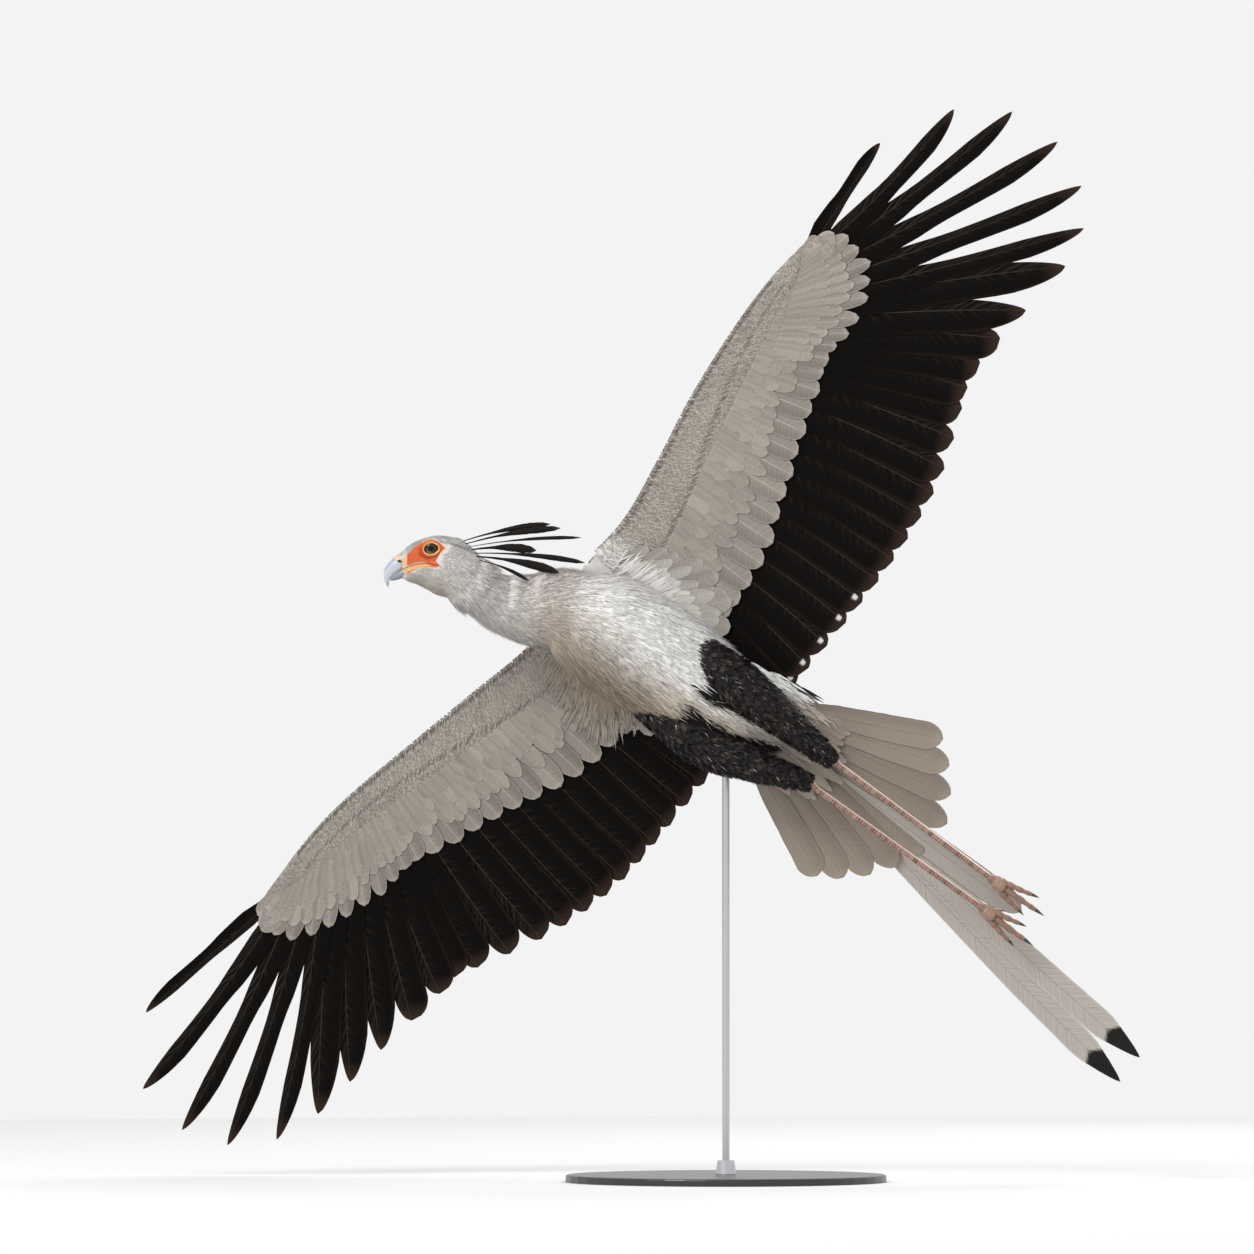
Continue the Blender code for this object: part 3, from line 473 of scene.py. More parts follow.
def rise(forward, out):
    """Height of the wing's sheet over the plane through both shoulders."""
    across = np.abs(out) / HALF_SPAN
    behind = np.minimum(0.0, forward - CAMBER_FRONT)
    return ARCH * np.sin(math.pi * across) - TIP_DROP * across ** 2 - CAMBER * behind ** 2


LEFT_WING = Wing(
    "left", 1,
    leading=(
        (0.078, 0.03), (0.068, 0.13), (0.085, 0.25), (0.105, 0.36),
        (0.119, 0.50), (0.120, 0.61), (0.105, 0.71),
    ),
    ulna=((-0.060, 0.13), (-0.005, 0.33), (0.050, 0.51)),
    hand=((0.055, 0.525), (0.080, 0.60), (0.098, 0.665)),
    secondary_tips=((-0.313, 0.105), (-0.316, 0.245), (-0.313, 0.385), (-0.291, 0.525), (-0.236, 0.668)),
    primary_tips=(
        (-0.227, 0.715), (-0.228, 0.770), (-0.233, 0.836), (-0.239, 0.940), (-0.225, 1.012),
        (-0.180, 1.067), (-0.106, 1.100), (-0.019, 1.091), (0.057, 1.030), (0.117, 0.903),
    ),
)
RIGHT_WING = Wing(
    "right", -1,
    leading=(
        (0.055, 0.03), (0.065, 0.15), (0.090, 0.27), (0.119, 0.41),
        (0.147, 0.55), (0.156, 0.66), (0.148, 0.79),
    ),
    ulna=((-0.060, 0.12), (0.005, 0.34), (0.070, 0.54)),
    hand=((0.078, 0.560), (0.110, 0.65), (0.134, 0.735)),
    secondary_tips=((-0.297, 0.095), (-0.295, 0.235), (-0.288, 0.370), (-0.250, 0.510), (-0.172, 0.667)),
    primary_tips=(
        (-0.169, 0.705), (-0.160, 0.769), (-0.150, 0.839), (-0.142, 0.912), (-0.133, 0.986),
        (-0.106, 1.061), (-0.048, 1.119), (0.026, 1.146), (0.118, 1.133), (0.191, 1.032),
    ),
)
WINGS = (LEFT_WING, RIGHT_WING)
SIDES = (("left", 1), ("right", -1))
print("wing spans", LEFT_WING.primary_tips[7][1], RIGHT_WING.primary_tips[7][1])

# %% [markdown]
# ## One feather, many times
# A feather is a long thin leaf with a raised shaft. Each is a closed tube of flat section: a few
# points round the section, repeated along the length, and scaled by the feather's outline. Thousands
# of them are worked out at once as arrays and joined into one mesh.

# %% Feather outlines and sections
FINE_SECTION = ((-1, 0), (0, 1), (1, 0))
VANE_SECTION = (
    (-1, 0), (-0.7, 0.3), (-0.4, 0.35), (-0.07, 0.4), (0, 1.4), (0.07, 0.4), (0.4, 0.35), (0.7, 0.3),
    (1, 0), (0.7, -0.3), (0.4, -0.35), (0.07, -0.4), (0, -1.4), (-0.07, -0.4), (-0.4, -0.35), (-0.7, -0.3),
)


def width_curve(stops, widths, start=None, power=2.0):
    """Widths at shares of a feather's length, through stops.

    Past the start the end closes in, round at a power of 2 and pointed near 1.
    """
    def at(v):
        wide = np.interp(v, stops, widths)
        if start is None:
            return wide
        end = np.clip(1 - ((v - start) / (1 - start)).clip(0, 1) ** power, 0, 1) ** (1 / power)
        return wide * np.maximum(end, 0.03)

    return at


flight_outline = width_curve((0, 0.05, 0.25, 0.88, 1), (0.10, 0.55, 0.95, 1, 1), 0.87)
pointed_outline = width_curve((0, 0.05, 0.25, 0.70, 1), (0.10, 0.55, 0.95, 1, 0.86), 0.77, 1.65)
finger_outline = width_curve((0, 0.06, 0.25, 0.42, 0.52, 0.66, 0.80, 1),
                             (0.12, 0.6, 1, 0.88, 0.70, 0.71, 0.75, 0.73), 0.78, 1.6)
covert_outline = width_curve((0, 0.15, 0.5, 1), (0.35, 0.75, 1, 1), 0.72)
leaf_outline = width_curve((0, 0.15, 0.5, 1), (0.45, 0.80, 1, 1), 0.50, 1.8)
tuft_outline = width_curve((0, 0.25, 0.6, 1), (0.35, 0.9, 1, 0.06))
strand_outline = width_curve((0, 0.2, 0.5, 0.8, 1), (0.5, 1.0, 0.85, 0.45, 0.05))
crest_outline = width_curve((0, 0.1, 0.35, 0.62, 0.8, 0.93, 1), (0.12, 0.16, 0.30, 0.85, 1, 0.7, 0.06))
fan_outline = width_curve((0, 0.2, 0.55, 0.86, 1), (0.50, 0.78, 0.95, 1, 1), 0.86, 1.8)
streamer_outline = width_curve((0, 0.1, 0.4, 0.7, 0.9, 1), (0.2, 0.5, 0.74, 0.96, 1, 0.7), 0.88, 1.5)

FEATHER_SIZES = {
    "half_width": 0.01, "bow": 0.0, "curl": 0.0, "roll": 0.0, "lift": 0.0, "thick": 0.0003, "mark": 0.0,
}


class Feathers:
    """Many like feathers as arrays. Each row is one feather."""

    def __init__(self, root, along, normal, tone, chart, length, **sizes):
        self.root = np.array(root, float)
        count = len(self.root)
        self.along = unit(np.asarray(along, float))
        self.side = unit(np.cross(normal, self.along))
        self.normal = unit(np.cross(self.along, self.side))
        self.tone = np.broadcast_to(np.asarray(tone, float), (count, 3))
        self.chart = None if chart is None else np.broadcast_to(chart, (count, 2))
        self.length = length
        for key, value in (FEATHER_SIZES | sizes).items():
            setattr(self, key, np.broadcast_to(np.asarray(value, float), (count,)))

    def points(self, outline, section, rows, ragged=0.0):
        """Vertices of all feathers: feather, row, section point, xyz."""
        v = np.asarray(rows, float)
        u, h = np.array(section, float).T
        half = self.half_width[:, None] * outline(v)
        if ragged:
            half = half * (1 + ragged * rng.uniform(-1, 1, size=half.shape))
        across = u * half[:, :, None]
        thick = h * (self.thick[:, None] * (1 - 0.75 * v))[:, :, None]
        arc = v * self.length[:, None]
        sag = self.curl[:, None] * v ** 2 * self.length[:, None]
        swing = self.bow[:, None] * 4 * (v * (1 - v))
        height = (self.lift[:, None] * v + sag)[:, :, None] + self.roll[:, None, None] * across + thick
        spot = self.root[:, None, None, :] + self.along[:, None, None, :] * arc[:, :, None, None]
        spot = spot + self.side[:, None, None, :] * (swing[:, :, None] + across)[..., None]
        return spot + self.normal[:, None, None, :] * height[..., None]

    def group(self, outline, shape, place=None, ragged=0.0):
        """The feathers with their vertices, laid by the function place, ready for feather_mesh."""
        points = self.points(outline, *shape, ragged)
        return place(points) if place else points, self, *shape


BAKE_PATCH = 0.003


def feather_mesh(name, groups, finish, slot, replaces=()):
    """One piece from groups of (points, feathers, section, rows)."""
    corners, loops, sizes, tones, bakes, vanes, rims, marks = [], [], [], [], [], [], [], []
    base = 0
    for points, feathers, section, rows in groups:
        count, steps, sides, _ = points.shape
        u = np.array([s[0] for s in section], float)
        ids = base + np.arange(count * steps * sides).reshape(count, steps, sides)
        here = ids[:, :-1, :]
        ahead = ids[:, 1:, :]
        quads = np.stack((here, ahead, np.roll(ahead, -1, 2), np.roll(here, -1, 2)), -1).reshape(-1, 4)
        loops.append(quads.ravel())
        sizes.append(np.full(len(quads), 4))
        loops.append(ids[:, 0, :].reshape(-1))
        loops.append(ids[:, -1, ::-1].reshape(-1))
        sizes.append(np.full(2 * count, sides))
        corners.append(points.reshape(-1, 3))
        tones.append(np.repeat(feathers.tone, steps * sides, 0))
        marks.append(np.repeat(feathers.mark, steps * sides))
        rims.append(np.tile(np.where(np.abs(u) == 1, np.sign(u), 0), count * steps))
        flat_u = np.broadcast_to(u[None, None, :], (count, steps, sides)) * 0.5 + 0.5
        flat_v = np.broadcast_to(np.asarray(rows)[None, :, None], (count, steps, sides))
        vanes.append(np.stack((flat_u, flat_v), -1).reshape(-1, 2))
        if feathers.chart is not None:
            patch = np.stack((flat_u - 0.5, flat_v - 0.5), -1) * BAKE_PATCH
            bakes.append((feathers.chart[:, None, None, :] + patch).reshape(-1, 2))
        base += count * steps * sides
    corners, loops, sizes = np.concatenate(corners), np.concatenate(loops), np.concatenate(sizes)
    mesh = bpy.data.meshes.new(name)
    mesh.vertices.add(len(corners))
    mesh.vertices.foreach_set("co", corners.astype(np.float32).ravel())
    mesh.loops.add(len(loops))
    mesh.loops.foreach_set("vertex_index", loops.astype(np.int32))
    mesh.polygons.add(len(sizes))
    mesh.polygons.foreach_set("loop_start", np.concatenate(((0,), np.cumsum(sizes)[:-1])).astype(np.int32))
    mesh.update(calc_edges=True)
    if bakes:
        store_uv(mesh, "OFBake", np.concatenate(bakes)[loops])
    store_uv(mesh, "vane", np.concatenate(vanes)[loops])
    store_tone(mesh, np.concatenate(tones), np.concatenate(marks)[:, None])
    mesh.shade_smooth()
    mesh.validate()
    crisp_rims(mesh, np.concatenate(rims))
    place_piece(name, mesh, finish, slot, replaces)
    print(name, "faces", len(sizes), "triangles", int((sizes - 2).sum()))


def crisp_rims(mesh, rims):
    """Mark the edges along both rims of each feather as sharp, so that a vane shades flat to its edge."""
    ends = np.empty(len(mesh.edges) * 2, np.int32)
    mesh.edges.foreach_get("vertices", ends)
    ends = rims[ends.reshape(-1, 2)]
    layer = mesh.attributes.new("sharp_edge", "BOOLEAN", "EDGE")
    layer.data.foreach_set("value", (ends[:, 0] != 0) & (ends[:, 0] == ends[:, 1]))


print("section points", len(FINE_SECTION), len(VANE_SECTION))

# %% [markdown]
# ## Feather finishes
# A vane is made of hundreds of fine barbs that slant away from the shaft. Its colour is stored on
# the mesh, and the shader adds the barbs as stripes in the feather's own coordinates, a paler shaft,
# and a browner, thinner edge where light comes through.

# %% Feather materials
BLACK = (0.0036, 0.0030, 0.0026)
BLACK_SHEEN = (0.033, 0.026, 0.021)
BROWN_EDGE = (0.050, 0.028, 0.020)
SHAFT_BROWN = (0.060, 0.040, 0.030)
SHAFT_PALE = (0.58, 0.54, 0.50)
COVERT_RIM = (0.46, 0.42, 0.385)
SPOT_WHITE = (0.62, 0.60, 0.58)
BARB_SLANT = 0.09
BARB_WAVES = 1300


def feather_finish(name, shaft, edge, roughness, rim_share, tip_share, gloss=0.25, shaft_width=0.035,
                   barbs=0.10, black_from=None, sheen=None, overlap_shade=0.0, hairline=0.0, clump=34,
                   slant=BARB_SLANT):
    """Fine slanting barbs that part here and there, painted shade on the side under a neighbour, a shaft
    line, and an edge over the stored tone.
    """
    g = Graph(name, roughness=roughness, Specular_IOR_Level=gloss)
    u, v = g.vane_place()
    side = u.abs()
    drift = g.noise(14.0, 2.0)
    slanted = v - side * slant
    fine = (slanted * BARB_WAVES + drift * 20).math("SINE") * 0.5 + 0.5
    sockets = {"W": slanted * clump + drift * 3, "Scale": 1.0, "Detail": 4.0, "Roughness": 0.65}
    clumps = g.node("ShaderNodeTexNoise", {"noise_dimensions": "1D"}, sockets, output="Fac")
    shaded = g.blend(fine * barbs, g.attribute("tone"), (0.35, 0.33, 0.31), "MULTIPLY")
    shaded = g.blend(clumps.between(0.35, 0.72) * barbs * 3.2, shaded, (0.62, 0.60, 0.585), "MULTIPLY")
    # Painted shade: the side of each vane that lies under its neighbour is darkened, standing in for that
    # neighbour's shadow.
    shaded = g.blend((0.2 - u).between(0.0, 1.0) * overlap_shade, shaded, (0.56, 0.54, 0.52), "MULTIPLY")
    if sheen:
        shaded = g.blend(clumps.between(0.40, 0.70) * u.between(-0.7, 0.8) * 0.8, shaded, sheen)
    rim = side.between(0.80, 1.0) * v.between(0.25, 0.9) * rim_share + v.between(0.90, 0.99) * tip_share
    shaded = g.blend(rim.math("MINIMUM", 1.0), shaded, edge)
    shaded = g.blend(side.between(0.90, 0.97) * hairline, shaded, (0.075, 0.055, 0.045))
    line = 1 - side.between(shaft_width * 0.4, shaft_width)
    shaded = g.blend(line * (0.95 - v * 0.45), shaded, shaft)
    spot = (1 - side.between(0.08, 0.26)) * v.between(0.930, 0.945) * (1 - v.between(0.958, 0.972))
    shaded = g.blend(spot * g.attribute("tone", "Alpha"), shaded, SPOT_WHITE)
    if black_from:
        tip = v + (drift - 0.5) * 0.02 + (clumps - 0.5) * 0.03 - side * 0.012
        shaded = g.blend(tip.between(black_from, black_from + 0.010), shaded, BLACK)
    g.finish("Base Color", shaded)
    g.bump(fine, 0.12, 0.0003)
    return g


black_vane = feather_finish("vane_black", SHAFT_BROWN, BROWN_EDGE, 0.55, 0.20, 0.55, gloss=0.04, barbs=0.20,
                            sheen=BLACK_SHEEN)
grey_vane = feather_finish("vane_grey", SHAFT_PALE, COVERT_RIM, 0.65, 0.35, 0.35, shaft_width=0.025,
                           barbs=0.18, overlap_shade=0.55)
soft_vane = feather_finish("vane_soft", (0.44, 0.41, 0.38), COVERT_RIM, 0.70, 0.25, 0.35, shaft_width=0.020,
                           barbs=0.20, overlap_shade=0.30)


def tuft_finish(name, roughness, contrast):
    """Small body feathers: the stored tone with a darker root and fine lengthwise streaks."""
    g = Graph(name, roughness=roughness, Specular_IOR_Level=0.2)
    u, v = g.vane_place()
    tone = g.attribute("tone")
    streak = (u * 9.0 + g.noise(60.0, 2.0) * 6.0).math("SINE") * 0.5 + 0.5
    rooted = g.blend((1 - v.between(0.0, 0.55)) * contrast, tone, (0.42, 0.40, 0.38), "MULTIPLY")
    g.finish("Base Color", g.blend(streak * contrast * 0.6, rooted, (0.72, 0.70, 0.68), "MULTIPLY"))
    return g


pale_tuft = tuft_finish("tuft_pale", 0.75, 0.32)
soft_tuft = tuft_finish("tuft_soft", 0.75, 0.16)
dark_tuft = tuft_finish("tuft_dark", 0.6, 0.5)
print("feather finishes", black_vane.material.name, grey_vane.material.name)

# %% [markdown]
# ## The flight feathers
# Ten primaries fan from the hand and fourteen secondaries lie along the forearm. The outer five
# or six primaries narrow to fingers with air between them. Each feather tilts a little about its
# shaft, so its neighbour slides under it as the wing opens.

# %% Flight feathers of both wings
FLIGHT_SHAPE = (VANE_SECTION, np.concatenate((np.linspace(0, 0.86, 15), np.linspace(0.89, 1, 8))))
FINGERS = {"left": 6, "right": 5}
POINTED = {"left": 2, "right": 3}
SPOTTED = 5


def flight_layout(wing):
    """Flat roots and tips of the secondaries and primaries, from the body outwards."""
    secondaries, primaries = np.linspace(0, 1, SECONDARIES), np.linspace(0, 1, PRIMARIES)
    roots = np.vstack((along_curve(wing.ulna, secondaries), along_curve(wing.hand, primaries)))
    tips = np.vstack((along_curve(wing.secondary_tips, secondaries), np.array(wing.primary_tips)))
    return roots, tips


def with_height(flat, height=0.0):
    """Flat places, forward and outward, with a height beside them."""
    return np.column_stack((flat, np.broadcast_to(height, len(flat))))


def flat_feathers(roots, tips, half_width, tone, chart, height=0.0, **more):
    """Feathers in the wing's flat frame, forward and outward, with their roots at a height."""
    line = with_height(tips - roots)
    return Feathers(with_height(roots, height), line, (0.0, 0.0, 1.0), tone, chart,
                    np.linalg.norm(line, axis=1), half_width=half_width, **more)


def sides_outward(feathers):
    """Turn the plus side of each feather to the wing's tip."""
    feathers.side = feathers.side * np.where(feathers.side[:, 1] < 0, -1, 1)[:, None]


def flight_feathers(wing):
    roots, tips = flight_layout(wing)
    order = np.arange(len(roots))
    outer = np.clip((order - SECONDARIES) / (PRIMARIES - 1), 0, 1)
    hand = order >= SECONDARIES
    finger = order >= len(roots) - FINGERS[wing.name]
    pointed = (order >= len(roots) - FINGERS[wing.name] - POINTED[wing.name]) & ~finger
    inner_half = np.where(finger, 0.030 - 0.006 * outer, 0.040 - 0.010 * outer)
    outer_half = np.where(finger, 0.014, 0.019 - 0.006 * outer)
    outer_half[-1], inner_half[-1] = 0.0095, 0.019
    roll = 0.060 + 0.045 * np.clip(outer * 2, 0, 1)
    bow = np.where(finger, -0.010, 0.005)
    bow[-1] = -0.001
    spotted = (order < SPOTTED) & (wing.side > 0)
    made = flat_feathers(roots, tips, outer_half, BLACK, None, roll=roll, bow=bow, thick=0.00045,
                         mark=spotted)
    sides_outward(made)
    groups = []
    for wanted, outline in (
        (~finger & ~pointed, flight_outline), (pointed, pointed_outline), (finger, finger_outline),
    ):
        part = pick(made, wanted)
        points = two_sided(part, outer_half[wanted], inner_half[wanted], outline)
        groups.append((wing.place(points), part, *FLIGHT_SHAPE))
    replaced = (f"wing_{wing.name}",)
    feather_mesh(f"flight_feathers_{wing.name}", groups, black_vane, "flight_plumage", replaced)


def pick(feathers, wanted):
    """Only the wanted rows of a set of feathers."""
    made = object.__new__(Feathers)
    for key, value in vars(feathers).items():
        setattr(made, key, None if value is None else value[wanted])
    return made


def two_sided(feathers, plus_half, minus_half, outline):
    """Points of vanes whose two sides differ in width."""
    feathers.half_width = plus_half
    plus = feathers.points(outline, *FLIGHT_SHAPE)
    feathers.half_width = minus_half
    minus = feathers.points(outline, *FLIGHT_SHAPE)
    u = np.array([s[0] for s in VANE_SECTION])
    return np.where((u > 0)[:, None], plus, minus)


for wing in WINGS:
    flight_feathers(wing)

# %% [markdown]
# ## Tubes for the trunk and the thighs
# The torso, the neck and the thighs are tubes of oval section that swell and shrink along a curve.
# One class gives a point, the outward direction and the way along the tube for any share of its
# length and any turn round it, so that skin and feathers can both be laid on the same shape.

# %% Trunk and thighs
class Tube:
    """A smooth tube through stops of place, half width and half height, in the bird's frame."""

    def __init__(self, stops, to_world=from_bird, pitch=None):
        self.stops = np.asarray(stops, float)
        self.to_world = to_world
        self.pitch = pitch

    def radius(self, share):
        rows = along_curve(self.stops, share)
        return (rows[:, 3] + rows[:, 4]) / 2

    def at(self, share, turn, inset=0.0):
        """World points, outward normals and directions along the tube."""
        share, turn = np.asarray(share, float), np.asarray(turn, float)
        rows = along_curve(self.stops, share)
        if self.pitch is None:
            ahead, behind = (along_curve(self.stops, share + step)[:, :3] for step in (0.01, -0.01))
            along = unit(ahead - behind)
        else:
            angle = np.radians(along_curve(np.array(self.pitch)[:, None], share)[:, 0])
            along = np.stack((np.cos(angle), 0 * angle, np.sin(angle)), -1)
        across = unit(np.cross((0, 0, 1), along))
        upward = np.cross(along, across)
        c, s = np.cos(turn)[:, None], np.sin(turn)[:, None]
        wide, high = rows[:, 3:4] - inset, rows[:, 4:5] - inset
        spot = rows[:, :3] + across * wide * c + upward * high * s
        normal = unit(across * c / wide + upward * s / high)
        start = self.to_world(np.zeros(3))
        return self.to_world(spot), self.to_world(normal) - start, self.to_world(along) - start


TORSO_STOPS = (
    (-0.345, 0.022, -0.022, 0.036, 0.020),
    (-0.290, 0.018, -0.040, 0.062, 0.046),
    (-0.200, 0.011, -0.058, 0.084, 0.074),
    (-0.100, 0.003, -0.067, 0.095, 0.090),
    (-0.010, -0.008, -0.073, 0.090, 0.090),
    (0.060, -0.026, -0.080, 0.068, 0.070),
)
NECK_STOPS = (
    (0.105, -0.055, -0.088, 0.057, 0.056),
    (0.145, -0.070, -0.098, 0.048, 0.047),
    (0.178, -0.073, -0.107, 0.041, 0.042),
    (0.215, -0.072, -0.110, 0.038, 0.040),
)
THIGH_STOPS = {
    "left": (
        (-0.150, 0.058, -0.082, 0.034), (-0.236, 0.068, -0.094, 0.036), (-0.330, 0.067, -0.094, 0.027),
        (-0.405, 0.063, -0.090, 0.0155), (-0.428, 0.062, -0.089, 0.0115),
    ),
    "right": (
        (-0.130, -0.042, -0.082, 0.040), (-0.248, -0.050, -0.094, 0.035), (-0.330, -0.027, -0.094, 0.027),
        (-0.400, -0.002, -0.090, 0.0155), (-0.423, 0.006, -0.089, 0.0115),
    ),
}
trunk_tube = Tube(TORSO_STOPS + NECK_STOPS)
THIGH_HEIGHT = 1.05  # of its half width
thigh_tubes = {
    name: Tube([(*stop, stop[-1] * THIGH_HEIGHT) for stop in stops]) for name, stops in THIGH_STOPS.items()
}
print("tubes", len(thigh_tubes) + 1)

# %% [markdown]
# ## Markings
# The colour of a feather depends on where it grows. A few soft masks over the trunk give the warm
# belly, the white flank under the wings and the greyer breast, and slow random waves break them up.
# The lower, right side of the banked trunk and neck is darker as painted shade, partly through the
# belly's buff.
# The skin under the feathers takes the same colours, so that nothing shows through a gap.

# %% Colours by place
BREAST_GREY = rgb(0.52, 0.465, 0.42)
NECK_GREY = rgb(0.62, 0.57, 0.54)
FLANK_WHITE = rgb(0.93, 0.915, 0.89)
# The buff of the belly is partly its real colour and partly painted shade of the lower, right side of the
# banked trunk.
BELLY_BUFF_AND_SHADE = rgb(0.325, 0.262, 0.198)
VENT_CREAM = rgb(0.66, 0.58, 0.48)
BACK_GREY = rgb(0.33, 0.33, 0.34)
RUMP_WHITE = rgb(0.56, 0.50, 0.44)
COVERT_GREY = rgb(0.345, 0.312, 0.275)
COVERT_TOP_GREY = rgb(0.27, 0.26, 0.25)
THIGH_BLACK = rgb(0.013, 0.011, 0.0105)
THIGH_FLECK = rgb(0.30, 0.28, 0.27)
THIGH_BROWN = rgb(0.035, 0.026, 0.022)
TAIL_GREY = rgb(0.285, 0.240, 0.195)


def to_bird(points):
    return (np.asarray(points) - SHOULDERS_AT) @ BIRD.T


def trunk_tone(points, normals):
    """Plumage colour on the torso and neck at world points with outward normals."""
    spot = to_bird(points)
    facing = normals @ BIRD.T
    forward, left = spot[:, 0], spot[:, 1]
    below = smooth(-facing[:, 2], -0.85, -0.40)
    # The lower, right side takes the buff: partly the belly's real colour, partly painted shade.
    low = smooth(-left, -0.055, 0.075)
    vent = smooth(-forward, 0.09, 0.14) * smooth(0.045 - np.abs(left + 0.02), 0.0, 0.03)
    # Painted shade: the front of the neck is darker where it faces the bird's right, the lower side of the
    # bank.
    shaded_throat = mix(NECK_GREY, NECK_GREY * 0.62, smooth(-facing[:, 1], 0.0, 0.9))
    under = layered(
        FLANK_WHITE,
        (BELLY_BUFF_AND_SHADE, low),
        (BREAST_GREY, 0.75 * low * smooth(forward, -0.03, 0.05)),
        (VENT_CREAM, 0.75 * vent),
        (shaded_throat, smooth(forward, 0.05, 0.12)),
    )
    warm = smooth(-left, -0.010, 0.055) * smooth(facing[:, 2], 0.35, -0.2)
    tone = layered(
        BACK_GREY,
        (under, below),
        (RUMP_WHITE, smooth(-forward, 0.24, 0.32) * 0.7),
        (BELLY_BUFF_AND_SHADE * 1.25, 0.60 * warm),
    )
    streaks = 0.07 * ripple(points, 0.05, 3) + 0.10 * ripple(spot * (0.25, 1, 1), 0.011, 4)
    tone = tone * (1 + streaks)[:, None]
    tone = mix(tone, head_tone(points, normals), smooth(to_head(points)[:, 0], -0.185, -0.090))
    return mix(tone, THIGH_BLACK, under_thighs(points) * smooth(-facing[:, 2], -0.1, 0.2))


def under_thighs(points):
    """1 where a place on the trunk wears the black feathers of a thigh, with a ragged front."""
    spot = to_bird(points)
    cover = np.zeros(len(spot))
    for stops in THIGH_STOPS.values():
        rows = np.array(stops)
        centre, half = (np.interp(-spot[:, 0], -rows[:, 0], rows[:, k]) for k in (1, 3))
        band = smooth(half * 1.2 - np.abs(spot[:, 1] - centre), -0.001, 0.002)
        cover = np.maximum(cover, band * smooth(-spot[:, 0] + 0.006 * ripple(points, 0.012, 8), 0.170, 0.174))
    return cover


def thigh_tone(points, _):
    return THIGH_BLACK + THIGH_BROWN * smooth(ripple(points, 0.010, 12), 0.1, 0.9)[:, None]


def crease_at(out):
    """Share of the chord at which the arm is creased, winding along the wing."""
    return 0.36 + 0.10 * np.sin(out * 9)


def wing_tone(wing, flat, above):
    """Covert colour at flat places: browner near the body, darker flecks along the front edge, and painted
    shade along the crease.
    """
    base = COVERT_TOP_GREY if above > 0 else COVERT_GREY
    forward, out = flat[:, 0], flat[:, 1]
    world = wing.place(with_height(flat), above)
    chord = (wing.front(out) - forward) / (wing.front(out) - wing.rear(out))
    tone = mix(base, base * 0.80, smooth(chord, 0.62, 1.05) * (above < 0))
    near_flank = smooth(0.135 - out, 0, 0.07) * smooth(forward, -0.10, -0.02) * (wing.side > 0) * (above < 0)
    tone = mix(tone, FLANK_WHITE * 0.9, 0.75 * near_flank)
    edge = smooth(0.014 - (wing.front(out) - forward), 0.0, 0.010)
    tone = mix(tone, base * 0.40, 0.45 * edge * smooth(ripple(world, 0.007, 6), -0.2, 0.5))
    # Painted shade along the crease of the arm, where the small coverts end over a gap.
    crease = bell(chord - crease_at(out), 0.030) * smooth(out, 0.13, 0.20)
    crease = crease * smooth(wing.end - 0.15 - out, 0, 0.1)
    tone = mix(tone, base * 0.60, 0.45 * crease * smooth(ripple(world, 0.05, 9), -0.5, 0.4))
    return tone * (1 + 0.06 * ripple(world, 0.035, 5) + 0.06 * ripple(world, 0.012, 15))[:, None]


print("markings", BREAST_GREY, BELLY_BUFF_AND_SHADE)

# %% [markdown]
# ## The shape of the head
# The skull is a tube too, whose rings lean with the slope of the head. A few smooth pushes and
# pulls then sculpt it: a flat pit for the eye with a swollen rim, a brow, a fold at the gape, and
# fine wrinkles in the bare skin. Places on the side of the head are given forward and up from the
# eye's centre.

# %% Head
HEAD_RINGS = (
    (-0.060, -0.068, 47, 0.040, 0.042), (-0.043, -0.050, 45, 0.037, 0.0435),
    (-0.020, -0.031, 37, 0.0305, 0.0475), (-0.003, -0.022, 33, 0.0262, 0.0450),
    (0.013, -0.0165, 29, 0.0232, 0.0410), (0.029, -0.0150, 24, 0.0180, 0.0350),
    (0.041, -0.0160, 18, 0.0135, 0.0285), (0.0495, -0.0185, 12, 0.0108, 0.0225),
)
HEAD_AROUND = 240
HEAD_ALONG = 195
EYE_SIDE = 0.0185
EYE_SIZE = (0.0130, 0.0070, 0.0130)
EYE_PLANE = 0.0222
FACE_EDGE = np.array((
    (60, -5), (48, -4), (37.5, -1.6), (27, 7.3), (12.6, 13.4), (-1.7, 16.4), (-12.5, 11), (-23.2, -2),
    (-13, -9.8), (-7.4, -17), (-4.6, -21), (-10.4, -28.9), (-4.3, -31), (22.8, -27.2), (42, -34),
    (52, -36), (60, -20),
)) / 1000
MOUTH_LINE = np.array(((72.7, -35.6), (50.3, -26.2), (31.2, -21.9), (15.2, -21.9), (-8.6, -28.6))) / 1000
BROW_LINE = np.array(((-0.017, 0.010), (-0.028, 0.004), (-0.052, -0.003)))
EYE_FOLD = np.array(((20.5, -4.6), (15.5, -10.5), (7.6, -14.3), (-3.8, -13.6), (-12.4, -8.6))) / 1000
NOSTRIL = np.array((0.0532, -0.0129))


def line_distance(spots, line, closed=False):
    """Distance of side-view places to a line of straight pieces."""
    ends = np.roll(line, -1, 0) if closed else line[1:]
    best = np.full(len(spots), 9.0)
    for start, end in zip(line if closed else line[:-1], ends):
        step = end - start
        share = np.clip((spots - start) @ step / (step @ step), 0, 1)
        best = np.minimum(best, np.linalg.norm(spots - start - share[:, None] * step, axis=1))
    return best


